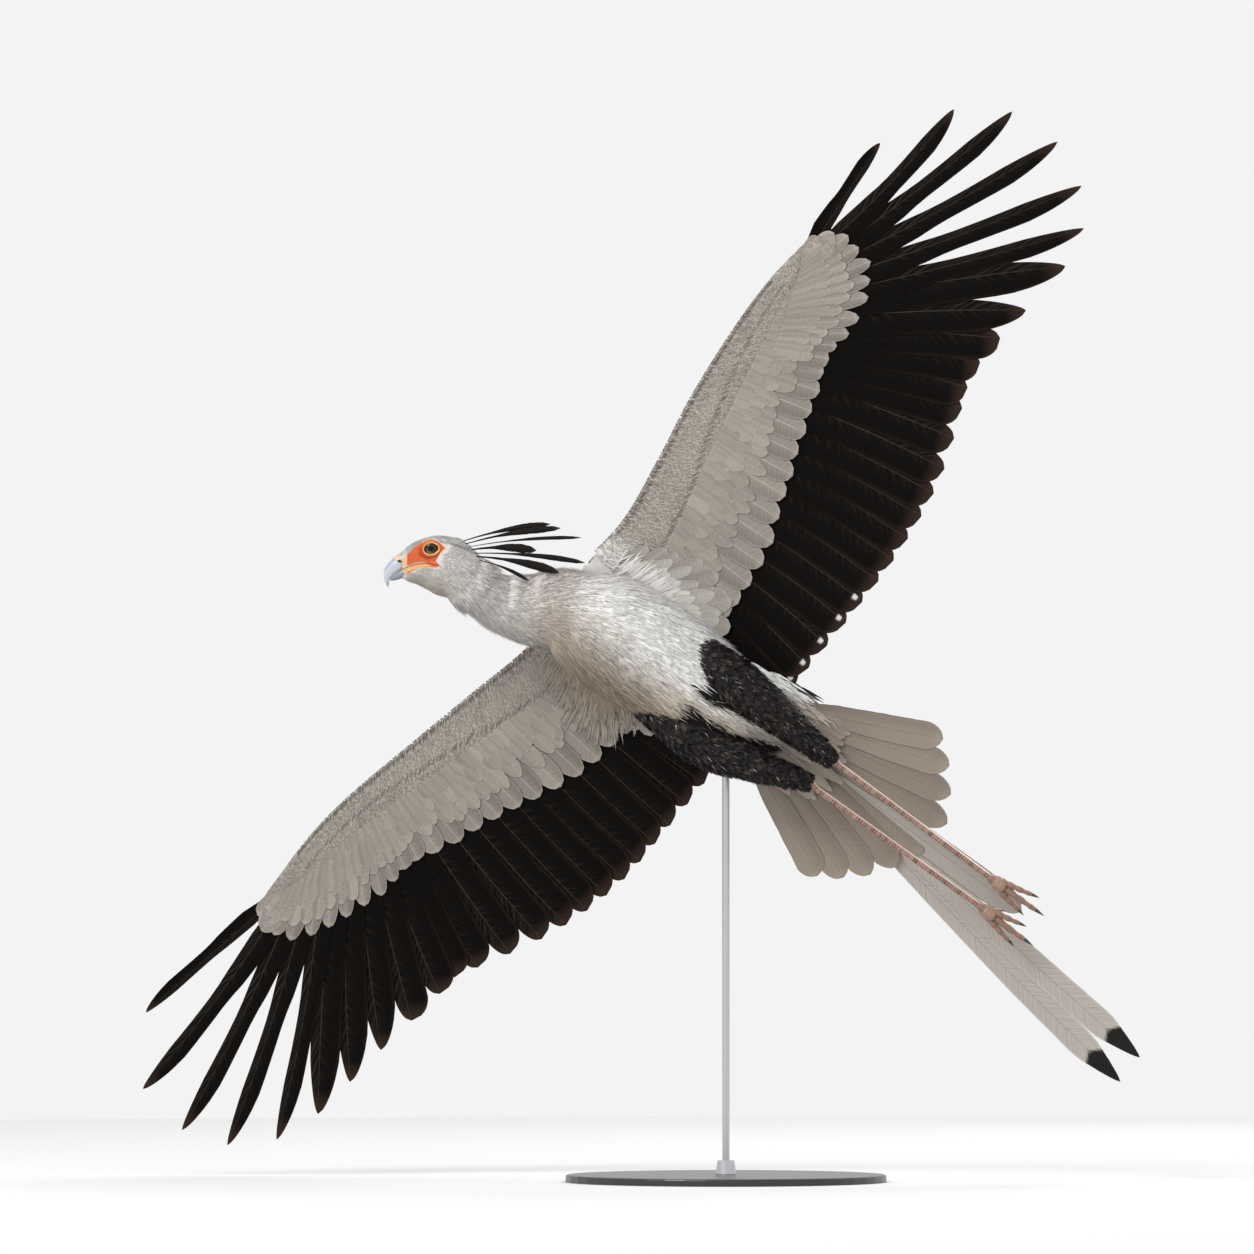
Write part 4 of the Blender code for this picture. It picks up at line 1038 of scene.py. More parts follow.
def inside(spots, outline):
    """True where a side-view place lies within a closed outline."""
    odd = np.zeros(len(spots), bool)
    for (x1, y1), (x2, y2) in zip(outline, np.roll(outline, -1, 0)):
        crosses = (spots[:, 1] > y1) != (spots[:, 1] > y2)
        if y1 != y2:
            odd ^= crosses & (spots[:, 0] < (x2 - x1) * (spots[:, 1] - y1) / (y2 - y1) + x1)
    return odd


def face_depth(spots):
    """Distance inside the bare face, below zero outside it."""
    return np.where(inside(spots, FACE_EDGE), 1, -1) * line_distance(spots, FACE_EDGE, closed=True)


def sculpt(points):
    """Push and pull points of the plain skull, in the head's frame."""
    forward, side, up = points.T
    spots = points[:, (0, 2)]
    side_on = smooth(np.abs(side), 0.006, 0.013)
    eye_at = np.hypot(forward, up / 0.86)
    flat = (1 - smooth(eye_at, 0.0120, 0.0220)) * side_on
    reach = np.abs(side) * (1 - flat) + EYE_PLANE * flat
    reach -= 0.0058 * (1 - smooth(eye_at, 0.0092, 0.0116)) * side_on
    reach += 0.0010 * bell(eye_at - 0.0142, 0.0018) * side_on
    off_brow = ((up - 0.0125) / 0.0035) ** 2 + ((forward - 0.002) / 0.015) ** 2
    reach += 0.0022 * np.exp(-off_brow) * side_on
    gape = line_distance(spots, MOUTH_LINE)
    reach -= 0.0016 * bell(gape, 0.0008) * side_on
    reach += 0.0011 * bell(gape - 0.0022, 0.0011) * side_on * smooth(0.040 - forward, 0, 0.01)
    bared = smooth(face_depth(spots), 0.0, 0.002) * side_on
    reach -= 0.0006 * (1 - bared) * side_on * smooth(forward, -0.03, 0.0)
    angle = np.arctan2(up, forward)
    around = eye_at * 2 * math.pi / 0.0026 + 1.6 * np.sin(3 * angle) + 2.0 * ripple(points, 0.012, 21)
    reach += 0.00024 * np.sin(around) * bared * smooth(eye_at, 0.0145, 0.018)
    reach += 0.00026 * ripple(points, 0.0028, 22) * bared
    fold = line_distance(spots, EYE_FOLD)
    folded = 0.0007 * bell(fold - 0.0018, 0.0010) - 0.0009 * bell(fold, 0.0009)
    reach += folded * side_on
    narrow = 1 - 0.07 * smooth(forward, 0.040, 0.0495)
    return np.stack((forward, np.sign(side) * reach * narrow, up), -1)


def ring_stops(rings):
    """A tube's stops from rings of forward, up, pitch, half width and half height, in the head's frame."""
    return [(f, 0, u, wide, high) for f, u, _, wide, high in rings], np.array, [ring[2] for ring in rings]


class HeadTube(Tube):
    """The sculpted skull: like a tube, but laid in the head's frame and then sculpted."""

    def __init__(self):
        super().__init__(*ring_stops(HEAD_RINGS))

    def at(self, share, turn, inset=0.0):
        spot, normal, along = super().at(share, turn, 0.0)
        spot = sculpt(spot) - normal * inset
        return from_head(spot), normal @ HEAD, along @ HEAD


FACE_RED = rgb(0.58, 0.100, 0.018)
# Deeper red of the face, used only as painted shade in the eye's pit and along the fold under it.
FACE_SHADE_RED = rgb(0.36, 0.040, 0.008)
FACE_RIM = rgb(0.82, 0.25, 0.09)
JAW_YELLOW = rgb(0.82, 0.46, 0.17)
CERE_CREAM = rgb(0.68, 0.47, 0.27)
LIP_GREY = rgb(0.52, 0.52, 0.50)
GAPE_RED = rgb(0.66, 0.13, 0.055)
FOREHEAD_GREY = rgb(0.36, 0.37, 0.385)
CROWN_GREY = rgb(0.50, 0.485, 0.475)
EAR_GREY = rgb(0.60, 0.58, 0.565)
THROAT_GREY = rgb(0.48, 0.44, 0.405)
NAPE_WHITE = rgb(0.60, 0.575, 0.55)
LID_YELLOW = (0.86, 0.44, 0.10)
MOUTH_BROWN = (0.10, 0.035, 0.018)


def head_tone(points, _, bared=1.0):
    """Colour of plumage and bare skin on the head at world points."""
    local = to_head(points)
    forward, side, up = local.T
    spots = local[:, (0, 2)]
    depth = face_depth(spots)
    ear_at = np.hypot((forward + 0.034) / 1.25, up + 0.013)
    ear = smooth(0.024 - ear_at, -0.004, 0.005)
    plumage = layered(
        NAPE_WHITE,
        (CROWN_GREY, smooth(up, -0.010, 0.012)),
        (THROAT_GREY, smooth(-up, 0.028, 0.050) * smooth(forward, -0.045, 0.01)),
        (FOREHEAD_GREY, smooth(forward, 0.004, 0.036) * smooth(up, -0.006, 0.008)),
        (EAR_GREY, ear),
    )
    ear_rim = 0.34 * bell(ear_at - 0.0245, 0.0018) * smooth(np.abs(side), 0.008, 0.02)
    plumage = plumage * (1 - ear_rim * smooth(-forward, 0.02, 0.05))[:, None]
    plumage = plumage * (1 - 0.55 * bell(line_distance(spots, BROW_LINE), 0.0016))[:, None]
    streak = ripple(local * (0.16, 1, 1), 0.0075, 31)
    plumage = plumage * (1 + 0.13 * streak * (1 - 0.6 * ear))[:, None]
    eye_at = np.hypot(forward, up / 0.86)
    # Painted shade in the pit of the eye, below and in front of it.
    eye_pit_shade = (1 - smooth(eye_at, 0.0150, 0.024)) * smooth(0.6 * forward - up, -0.004, 0.008)
    lip = line_distance(spots, MOUTH_LINE)
    over = np.interp(forward, MOUTH_LINE[::-1, 0], MOUTH_LINE[::-1, 1]) < up
    bare = layered(
        FACE_RED,
        (FACE_SHADE_RED, eye_pit_shade * 0.85),
        (FACE_RIM, (1 - smooth(depth, 0.0004, 0.0026)) * smooth(up, -0.004, 0.006)),
        (JAW_YELLOW, smooth(0.0075 - lip, 0.0, 0.001) * ~over * smooth(forward, -0.004, 0.004)),
        (GAPE_RED, smooth(0.0055 - lip, 0.0, 0.002) * smooth(0.009 - forward, 0.0, 0.009)),
        (CERE_CREAM, smooth(forward + 0.15 * up, 0.0380, 0.0405)),
        (LIP_GREY, 0.8 * smooth(0.0030 - lip, 0.0, 0.0006) * over * smooth(forward, 0.006, 0.020)),
        (LID_YELLOW, bell(eye_at - 0.0125, 0.0012)),
        (MOUTH_BROWN, 0.80 * bell(lip, 0.0007)),
    )
    bare = bare * (1 + 0.10 * ripple(local, 0.004, 33))[:, None]
    # Painted shade along the fold under the eye.
    bare = mix(bare, FACE_SHADE_RED * 0.45, 0.70 * bell(line_distance(spots, EYE_FOLD), 0.0010))
    shown = smooth(depth, -0.0004, 0.0005) * smooth(np.abs(side), 0.003, 0.006) * bared
    return np.clip(mix(plumage, bare, shown), 0, 0.95)


def bareness(points):
    """1 on the bare skin of the face, 0 under feathers."""
    return smooth(face_depth(to_head(points)[:, (0, 2)]), -0.0004, 0.0006)


head_tube = HeadTube()
print("head rings", len(HEAD_RINGS))

# %% [markdown]
# ## One skin
# Under the coat the bird is a single form: trunk, thighs and the arms of both wings, without a seam.
# Each region is a grid wrapped onto its shape. A voxel remesh then melts them together, a few rounds
# of smoothing soften the joins, and each new vertex takes its colour from the nearest old one.

# %% Skin
COAT_DEPTH = 0.0035
THIGH_DEPTH = 0.0025
ARM_DEPTH = 0.0010
SKIN_VOXEL = 0.0042


def wrapped(columns, rows, place):
    """A closed tube from a grid whose x runs round and y runs along; place gives world points."""
    bm = bmesh.new()
    bmesh.ops.create_grid(bm, x_segments=columns, y_segments=rows, size=0.5)
    around = np.array([vert.co.x + 0.5 for vert in bm.verts])
    along = np.array([vert.co.y + 0.5 for vert in bm.verts])
    for vert, spot in zip(bm.verts, place(around, along)):
        vert.co = spot
    bmesh.ops.remove_doubles(bm, verts=bm.verts, dist=1e-6)
    bmesh.ops.holes_fill(bm, edges=[edge for edge in bm.edges if edge.is_boundary], sides=0)
    bmesh.ops.recalc_face_normals(bm, faces=bm.faces)
    return bm


def arm_place(wing, around, along):
    """World points round the arm's section: the top at turns below a half, then the underside."""
    x = np.abs(1 - 2 * around)
    flat = with_height(wing.on_arm(x, 0.02 + (wing.end - 0.02) * along), -ARM_DEPTH * (1 - x))
    top, below = wing.place(flat, 1), wing.place(flat, -1)
    middle = (top + below) / 2
    chosen = np.where((around < 0.5)[:, None], top, below)
    return middle + (chosen - middle) * (1 - x ** 10)[:, None]


def arm_region_tone(wing, points):
    spot = to_bird(points)
    return wing_tone(wing, np.stack((spot[:, 0], np.abs(spot[:, 1])), -1), -1)


def tube_region(tube, columns, rows, tone, depth):
    """The wrapped form of a tube, and the function that colours its points."""
    bm = wrapped(columns, rows, lambda around, along: tube.at(along, around * 2 * math.pi, depth)[0])
    return bm, lambda points: tone(points, unit(points - points.mean(0)))


regions = [tube_region(trunk_tube, 48, 80, trunk_tone, COAT_DEPTH)]
regions += [tube_region(tube, 28, 40, thigh_tone, THIGH_DEPTH) for tube in thigh_tubes.values()]
for wing in WINGS:
    regions.append((wrapped(32, 60, partial(arm_place, wing)), partial(arm_region_tone, wing)))

joined = bmesh.new()
region_points, region_tones = [], []
for bm, region_tone in regions:
    mesh = mesh_from(bm, "region")
    joined.from_mesh(mesh)
    region_points.append(mesh_points(mesh))
    region_tones.append(region_tone(region_points[-1]))
    bpy.data.meshes.remove(mesh)
region_points, region_tones = np.concatenate(region_points), np.concatenate(region_tones)
print("regions", len(regions), "vertices", len(region_points))

# %% [markdown]
# The skin's own finish is fine, dull down: the stored colour with soft bumps. Very little of it
# shows between the feathers.

# %% Melt the regions together
skin_finish = Graph("skin_down", roughness=0.85, Specular_IOR_Level=0.25)
skin_grain = skin_finish.noise(700.0, 3.0)
bare_skin = skin_finish.attribute("bare", "Fac")
skin_tone = skin_finish.attribute("tone")
skin_colour = skin_finish.blend(skin_grain * 0.4, skin_tone, (0.6, 0.58, 0.56), "MULTIPLY")
mottle = skin_finish.noise(260.0, 3.0).between(0.35, 0.7)
mottled = skin_finish.blend(bare_skin * mottle * 0.35, skin_colour, (0.80, 0.52, 0.42), "MULTIPLY")
skin_finish.finish("Base Color", mottled)
skin_finish.finish("Roughness", 0.85 - bare_skin * 0.42)
skin_finish.bump(skin_grain, 0.4, 0.0006)

skin = piece("skin", joined, skin_finish, "body_plumage",
             ("torso", "neck", "leg_left_thigh", "leg_right_thigh", "head"))
remesh = skin.modifiers.new("melt", "REMESH")
remesh.mode = "VOXEL"
remesh.voxel_size = SKIN_VOXEL
remesh.use_smooth_shade = True
soften = skin.modifiers.new("soften", "SMOOTH")
soften.iterations = 5
soften.factor = 0.5


def settled(obj):
    """Apply an object's modifiers by keeping the mesh they make."""
    bpy.context.view_layer.update()
    made = bpy.data.meshes.new_from_object(obj.evaluated_get(bpy.context.evaluated_depsgraph_get()))
    obj.modifiers.clear()
    obj.data = made
    return made


def nearest_rows(source, rows, points):
    """For each point, the row that belongs to the nearest source point."""
    tree = KDTree(len(source))
    for index, spot in enumerate(source):
        tree.insert(spot, index)
    tree.balance()
    return rows[[tree.find(spot)[1] for spot in points]]


def melted_together(obj, others, finish):
    """Union one object's mesh with other closed meshes, which are then removed, under one finish."""
    group = bpy.data.collections.new("to_join")
    bpy.context.scene.collection.children.link(group)
    helpers = [bpy.data.objects.new("helper", mesh) for mesh in others]
    for helper in helpers:
        group.objects.link(helper)
    union = obj.modifiers.new("join", "BOOLEAN")
    union.operation = "UNION"
    union.operand_type = "COLLECTION"
    union.collection = group
    union.solver = "MANIFOLD"
    made = settled(obj)
    for helper in helpers:
        bpy.data.objects.remove(helper)
    bpy.data.collections.remove(group)
    made.shade_smooth()
    made.materials.clear()
    made.materials.append(finish.material)
    return made


settled(skin)
skull = wrapped(HEAD_AROUND, HEAD_ALONG, lambda around, along: head_tube.at(along, around * 2 * math.pi)[0])
melted = melted_together(skin, [mesh_from(skull, "skull")], skin_finish)
spots = mesh_points(melted)
forward, sideways, up = to_head(spots).T
in_head = (forward > -0.050) & (np.abs(sideways) < 0.05) & (up > -0.10)
tones = nearest_rows(region_points, region_tones, spots)
from_neck = smooth(forward[in_head], -0.052, -0.036)
tones[in_head] = mix(tones[in_head], head_tone(spots[in_head], None), from_neck)
store_tone(melted, tones)
bare = np.zeros(len(spots))
bare[in_head] = bareness(spots[in_head])
bare_layer = melted.attributes.new("bare", "FLOAT", "POINT")
bare_layer.data.foreach_set("value", bare.astype(np.float32))
skin_tree = BVHTree.FromPolygons([v.co[:] for v in melted.vertices], [p.vertices[:] for p in melted.polygons])
print("skin vertices", len(melted.vertices))

# %% [markdown]
# ## Laying the coat
# Body feathers grow in staggered rows that point to the tail. Each tract is a set of jittered places
# on a tube. A root that falls inside another part of the skin is dropped, and every feather starts
# under the surface and ends on it, so the coat lies flat with its tips just lifted.

# %% Tracts on tubes
CHARTS = {
    "trunk": (0.01, 0.01, 0.44, 0.62),
    "thigh_left": (0.01, 0.65, 0.21, 0.20), "thigh_right": (0.24, 0.65, 0.21, 0.20),
    "head": (0.01, 0.87, 0.30, 0.12), "tail": (0.33, 0.87, 0.15, 0.12),
    "left_-1": (0.50, 0.01, 0.48, 0.23), "left_1": (0.50, 0.26, 0.48, 0.23),
    "right_-1": (0.50, 0.51, 0.48, 0.23), "right_1": (0.50, 0.76, 0.48, 0.23),
}


def chart_place(chart, across, along):
    """Places on a part of the coat's map, by shares across and along it."""
    left, low, wide, high = CHARTS[chart]
    across, along = np.broadcast_arrays(across, along)
    return np.stack((left + wide * np.clip(across, 0, 1), low + high * np.clip(along, 0, 1)), -1)


JITTER = 0.45  # of a step between places


def staggered(rows, columns):
    """Jittered places in staggered rows, as shares along and around."""
    i, j = np.meshgrid(np.arange(rows), np.arange(columns), indexing="ij")
    shift = rng.uniform(-JITTER, JITTER, size=(2, rows, columns))
    return ((i + 0.5 + shift[0]) / rows).ravel(), ((j + 0.5 * (i % 2) + shift[1]) / columns % 1).ravel()


BURIED_DEPTH = 0.006


def buried(points):
    """True where a point lies deep inside the skin."""
    inside = np.zeros(len(points), bool)
    for index, spot in enumerate(points):
        near_point, normal, _, distance = skin_tree.find_nearest(Vector(spot))
        inside[index] = (Vector(spot) - near_point).dot(normal) < 0 and distance > BURIED_DEPTH
    return inside


def onto_skin(points, normals, depth):
    """Points moved along their normals to lie at the depth under the skin, by 12 mm at most."""
    moved = points.copy()
    for index, (spot, way) in enumerate(zip(points, normals)):
        hit, _, _, distance = skin_tree.ray_cast(Vector(spot + way * 0.016), Vector(-way), 0.024)
        if hit is not None:
            moved[index] = spot + way * np.clip(0.016 - distance - depth, -0.002, 0.012)
    return moved


def tract(tube, chart, lines, columns, length, half_width, tone, share=(0, 1), backward=1.0, stray=0.14,
          depth=COAT_DEPTH, proud=(0.0,), vary=0.10, thick=0.0004, keep=None, droop=0.0, fitted=None):
    """Feathers on a tube, pointing back down it.

    Length, half width and the height of the tips over the skin are stops along the tract. Near the
    head the roots are moved to the fitted depth in the skin.
    """
    along_share, around = staggered(lines, columns)
    along_share = share[0] + (share[1] - share[0]) * along_share
    radii = tube.radius(along_share)
    kept = rng.random(len(around)) < radii / radii.max()
    along_share, around = along_share[kept], around[kept]
    turns = around * 2 * math.pi
    root, normal, _ = tube.at(along_share, turns, depth)
    ahead, behind = (tube.at(np.clip(along_share + step, 0, 1), turns, depth)[0] for step in (0.015, -0.015))
    along = unit(ahead - behind)
    normal = unit(normal - along * (normal * along).sum(1, keepdims=True))
    found = (root, normal, along, along_share, around)
    if keep is not None:
        wanted = keep(root, normal)
        found = [rows[wanted] for rows in found]
        root, normal = found[:2]
    if fitted is not None:
        near = to_head(root)[:, 0] > -0.150
        root[near] = onto_skin(root[near], normal[near], fitted)
    wanted = ~buried(root)
    root, normal, along, along_share, around = (rows[wanted] for rows in found)
    count = len(root)
    sideways = np.cross(normal, along)
    lie = -along * backward + sideways * rng.normal(0, stray, count)[:, None] + np.array((0, 0, -droop))
    size = spread(length, along_share, *share) * rng.uniform(0.8, 1.2, count)
    tones = tone(root, normal) * (1 + vary * rng.normal(0, 1, count))[:, None]
    wide = spread(half_width, along_share, *share) * rng.uniform(0.8, 1.2, count)
    return Feathers(root, lie, normal, np.clip(tones, 0, 0.95), chart_place(chart, around, along_share), size,
                    half_width=wide, lift=depth + spread(proud, along_share, *share), thick=thick,
                    curl=rng.normal(0, 0.02, count))


CONTOUR_SHAPE = (FINE_SECTION, (0, 0.35, 0.75, 1))
STRAND_SHAPE = (FINE_SECTION, (0, 0.45, 1))
WISP_SHAPE = (FINE_SECTION, (0, 0.35, 0.7, 1))


def coat(name, sets, outline, shape, finish, slot):
    """One coat piece from sets of feathers."""
    feather_mesh(name, [one.group(outline, shape) for one in sets], finish, slot)


def trunk_tract(rows, columns, length, half_width, **more):
    return [tract(trunk_tube, "trunk", rows, columns, length, half_width, trunk_tone, **more)]


contours = trunk_tract(104, 80, (0.034, 0.034, 0.032, 0.026, 0.022), (0.0048, 0.0048, 0.0034), thick=0.00018,
                       fitted=0.0)
coat("coat_trunk", contours, tuft_outline, CONTOUR_SHAPE, pale_tuft, "body_plumage")
down = trunk_tract(128, 140, (0.036,), (0.0011,), share=(0, 0.62), proud=(0.0018,), stray=0.16, vary=0.13,
                   thick=0.00012)
coat("down_torso", down, strand_outline, STRAND_SHAPE, pale_tuft, "body_plumage")
wisps = trunk_tract(84, 76, (0.052, 0.050, 0.034, 0.026), (0.0010, 0.0009, 0.0007), stray=0.13, vary=0.20,
                    proud=(0.0035, 0.0035, 0.0025), thick=0.00012, fitted=0.0)
coat("wisps_torso", wisps, strand_outline, WISP_SHAPE, pale_tuft, "body_plumage")
neck_down = trunk_tract(80, 130, (0.026,), (0.0009,), share=(0.56, 1), proud=(0.0018,), stray=0.15, vary=0.12,
                        thick=0.00012, fitted=0.0)
coat("down_neck", neck_down, strand_outline, STRAND_SHAPE, soft_tuft, "body_plumage")

# %% [markdown]
# ## Thigh feathers
# The thighs wear loose black feathers like trousers, with a few pale flecks where the bases show.

# %% Thighs
def flecked(points, _):
    tone = np.tile(THIGH_BLACK, (len(points), 1))
    pale = rng.random(len(points)) < 0.14
    tone[pale] = THIGH_FLECK * rng.uniform(0.15, 0.9, (pale.sum(), 1))
    return tone


thigh_sets, thigh_down = [], []
wear = {"depth": THIGH_DEPTH, "backward": -1}
for name, tube in thigh_tubes.items():
    thigh_sets.append(tract(
        tube, f"thigh_{name}", 46, 36, (0.024, 0.024, 0.020, 0.013), (0.0068,), thigh_tone, share=(0, 0.99),
        vary=0.45, stray=0.26, droop=0.03, proud=(0.003, 0.003, 0.005, 0.004), **wear,
    ))
    thigh_down.append(tract(
        tube, f"thigh_{name}", 70, 62, (0.018, 0.018, 0.016, 0.012), (0.0014,), flecked, share=(0, 0.995),
        vary=0.55, stray=0.40, droop=0.04, proud=(0.004, 0.004, 0.006, 0.005), **wear,
    ))
coat("coat_thighs", thigh_sets, tuft_outline, CONTOUR_SHAPE, dark_tuft, "thigh_plumage")
coat("down_thighs", thigh_down, strand_outline, STRAND_SHAPE, dark_tuft, "thigh_plumage")

# %% [markdown]
# ## Coverts
# Tiers of coverts roof the roots of the flight feathers and the whole arm, under and over it. The
# greater coverts are broad, with rounded, paler tips. In front of them lie the medians, and then row
# after row of small ones that shrink towards the leading edge.

# %% Coverts in tiers
SMALL_ROWS = 26
COVERTS_FROM = 0.062
COVERT_REACH = (0.40, 0.40, 0.31, 0.28, 0.32, 0.26, 0.19)
COVERT_SHAPE = (
    (
        (-1, 0), (-0.6, 0.5), (-0.06, 0.7), (0, 1.5), (0.06, 0.7), (0.6, 0.5), (1, 0),
        (0.5, -0.5), (-0.5, -0.5),
    ),
    (0, 0.15, 0.32, 0.5, 0.68, 0.8, 0.9, 0.96, 1),
)


def lie_of(wing, out):
    """Flat direction in which feathers lie at a distance from the midline."""
    roots, tips = flight_layout(wing)
    lines = unit(tips - roots)
    order = np.argsort(roots[:, 1])
    return unit(np.stack([np.interp(out, roots[order, 1], lines[order, k]) for k in (0, 1)], -1))


def arm_tone(wing, flat, above, brighter=1.0, vary=0.05):
    """Covert colours at flat places, each feather a little different."""
    return np.clip(wing_tone(wing, flat, above) * rng.normal(brighter, vary, (len(flat), 1)), 0, 0.9)


def covert_row(wing, above, count, x, length, half_width, height, jitter, vary=0.05, lift=0.0012,
               uneven=0.07):
    """One row of coverts with roots at share x of the arm's chord; lengths may change outwards."""
    places = (np.arange(count) + 0.5 + rng.uniform(-jitter, jitter, count)) / count
    out = COVERTS_FROM + (wing.end - COVERTS_FROM) * places
    roots = wing.on_arm(x, out)
    size = spread(length, out / wing.end) * rng.uniform(1 - uneven, 1 + uneven, count)
    turn = rng.normal(0, 0.05, count)
    line = lie_of(wing, out)
    line = np.stack((line[:, 0] - line[:, 1] * turn, line[:, 1] + line[:, 0] * turn), -1)
    tone = arm_tone(wing, roots, above, vary=vary)
    wide = half_width * rng.uniform(0.9, 1.1, count)
    return flat_feathers(roots, roots + line * size[:, None], wide, tone,
                         wing.chart(above, out, 1 - x * 0.8), height, thick=0.00035, lift=lift)


def greater_coverts(wing, above):
    """One broad covert on each flight feather."""
    roots, tips = flight_layout(wing)
    count = len(roots)
    share = spread(COVERT_REACH, np.linspace(0, 1, count))
    starts = roots + (roots - tips) * 0.03
    ends = roots + (tips - roots) * (share * rng.uniform(0.97, 1.03, count))[:, None]
    tone = arm_tone(wing, (starts + ends) / 2, above, 1.03, 0.04)
    half_width = np.where(np.arange(count) >= SECONDARIES, 0.0150, 0.0225)
    made = flat_feathers(starts, ends, half_width, tone, wing.chart(above, starts[:, 1], 0.12), 0.0022,
                         thick=0.0004, roll=0.05 * above)
    sides_outward(made)
    return made


def hand_coverts(wing, above, count, share, half_width, height):
    """Long petals fanned over the hand, between and over the greater coverts."""
    roots, tips = (ends[SECONDARIES - 1:] for ends in flight_layout(wing))
    at = np.linspace(0, 1, count)
    starts, ends = along_curve(roots, at), along_curve(tips, at)
    reach = share * spread(COVERT_REACH[-4:], at) * rng.uniform(0.88, 1.1, count)
    ends = starts + (ends - starts) * reach[:, None]
    return flat_feathers(starts, ends, half_width, arm_tone(wing, starts, above),
                         wing.chart(above, starts[:, 1], 0.25 * share), height, thick=0.00035, lift=0.001)


# Share of the chord (none: along the crease), length, count and darkness of each row of flecks.
# The row along the crease is partly real dark flecks and partly painted shade where the small coverts end
# over a gap.
FLECK_ROWS = ((0.012, 0.007, 150, 0.40), (0.030, 0.008, 60, 0.55), (None, 0.014, 84, 0.58))


def flecks(wing):
    """Small dark feathers in a broken line under the front edge and along the crease of the arm."""
    groups = []
    for x, size, count, dark in FLECK_ROWS:
        out = np.linspace(0.10, wing.end - 0.10, count) + rng.normal(0, 0.002, count)
        spot = crease_at(out) + rng.normal(0, 0.012, count) if x is None else np.full(count, x)
        roots = wing.on_arm(spot, out)
        line = lie_of(wing, out) + rng.normal(0, 0.15, (count, 2)) + (0, 2.6 if x is None else 1.4)
        tone = wing_tone(wing, roots, -1) * dark * rng.uniform(0.7, 1.3, (count, 1))
        one = flat_feathers(roots, roots + unit(line) * size, 0.0011, tone,
                            wing.chart(-1, out, 1 - spot * 0.8), 0.0022, thick=0.00012, lift=0.0010)
        groups.append(one.group(tuft_outline, CONTOUR_SHAPE, wing.face(-1)))
    return groups


def median_coverts(wing, above):
    """The rows between the greater coverts and the small ones."""
    loose = {"jitter": 0.5, "uneven": 0.2}
    return [
        covert_row(wing, above, 38, 0.74, (0.060, 0.056, 0.040), 0.0150, 0.0028, jitter=0.45, uneven=0.2),
        hand_coverts(wing, above, 17, 0.50, 0.0095, 0.0033),
        covert_row(wing, above, 50, 0.62, (0.048, 0.044, 0.034), 0.0125, 0.0028, **loose),
        covert_row(wing, above, 64, 0.50, (0.038, 0.036, 0.028), 0.0100, 0.0025, **loose),
    ]


def small_coverts(wing, above):
    """Row after row of tufts that shrink towards the leading edge."""
    rows = []
    for row in range(SMALL_ROWS):
        share = row / (SMALL_ROWS - 1)
        size = 0.034 - 0.021 * share
        lengths = (size * 1.1, size, size * 0.8)
        rows.append(covert_row(wing, above, 130 + row * 2, 0.56 - 0.58 * share ** 0.9, lengths,
                               0.0042 - 0.0018 * share, 0.0006, 0.5, vary=0.055, lift=0.0020))
    return rows


for wing in WINGS:
    for above, side in ((-1, "under"), (1, "over")):
        greater = [greater_coverts(wing, above), hand_coverts(wing, above, 15, 0.72, 0.0115, 0.0029)]
        medians = median_coverts(wing, above)
        face = wing.face(above)
        for tier, sets, outline, finish in (
            ("greater", greater, covert_outline, grey_vane), ("median", medians, leaf_outline, soft_vane),
        ):
            groups = [one.group(outline, COVERT_SHAPE, face, 0.03) for one in sets]
            feather_mesh(f"{tier}_coverts_{wing.name}_{side}", groups, finish, "flight_plumage")
        groups = [one.group(tuft_outline, CONTOUR_SHAPE, face) for one in small_coverts(wing, above)]
        feather_mesh(f"coat_arm_{wing.name}_{side}", groups, pale_tuft, "flight_plumage")
    feather_mesh(f"flecks_{wing.name}", flecks(wing), pale_tuft, "flight_plumage")

# %% [markdown]
# ## Feathers of the head
# Feathers on the face are tiny and grow longer towards the neck. None grow on the bare red face, on
# the cere or on the lips.

# %% Head coat
def feathered(points, _):
    local = to_head(points)
    spots = local[:, (0, 2)]
    side_on = np.abs(local[:, 1]) > 0.004
    bare = (face_depth(spots) > 0.0) & side_on
    lips = (line_distance(spots, MOUTH_LINE) < 0.0022) & (spots[:, 0] > -0.008)
    front = np.where(spots[:, 1] < -0.032, 0.0505, np.where(spots[:, 1] > -0.006, 0.0485, 0.0435))
    thinned = rng.random(len(spots)) < 0.12 + 0.88 * smooth(spots[:, 0], -0.085, -0.040)
    return ~bare & ~lips & (spots[:, 0] < front) & thinned


def head_plumage(points, normals):
    return head_tone(points, normals, 0.0)


def head_tract(rows, columns, length, half_width, last, **more):
    return [tract(head_tube, "head", rows, columns, length, (half_width,), head_plumage, share=(0.0, last),
                  depth=0.0005, keep=feathered, fitted=0.0005, **more)]


contours = head_tract(92, 150, (0.024, 0.020, 0.014, 0.010, 0.007, 0.0055, 0.0045), 0.00115, 0.985,
                      stray=0.06, proud=(0.0007,), vary=0.035, thick=0.00009)
coat("coat_head", contours, tuft_outline, STRAND_SHAPE, soft_tuft, "face_skin")
down = head_tract(70, 120, (0.034, 0.028, 0.019, 0.012, 0.008, 0.005, 0.004), 0.00055, 0.90, stray=0.07,
                  proud=(0.0010,), vary=0.06, thick=0.00007)
coat("down_head", down, strand_outline, STRAND_SHAPE, soft_tuft, "face_skin")

# %% [markdown]
# ## Eyes and lids
# Each eye is a flattened ball with a black pupil, a dark olive iris and a wet gloss; the iris's lower front
# is paler with painted light. The lid is a rim swept round an almond, orange and yellow outside, with a thin
# black line inside it. Coarse black lashes stand on the upper lid.

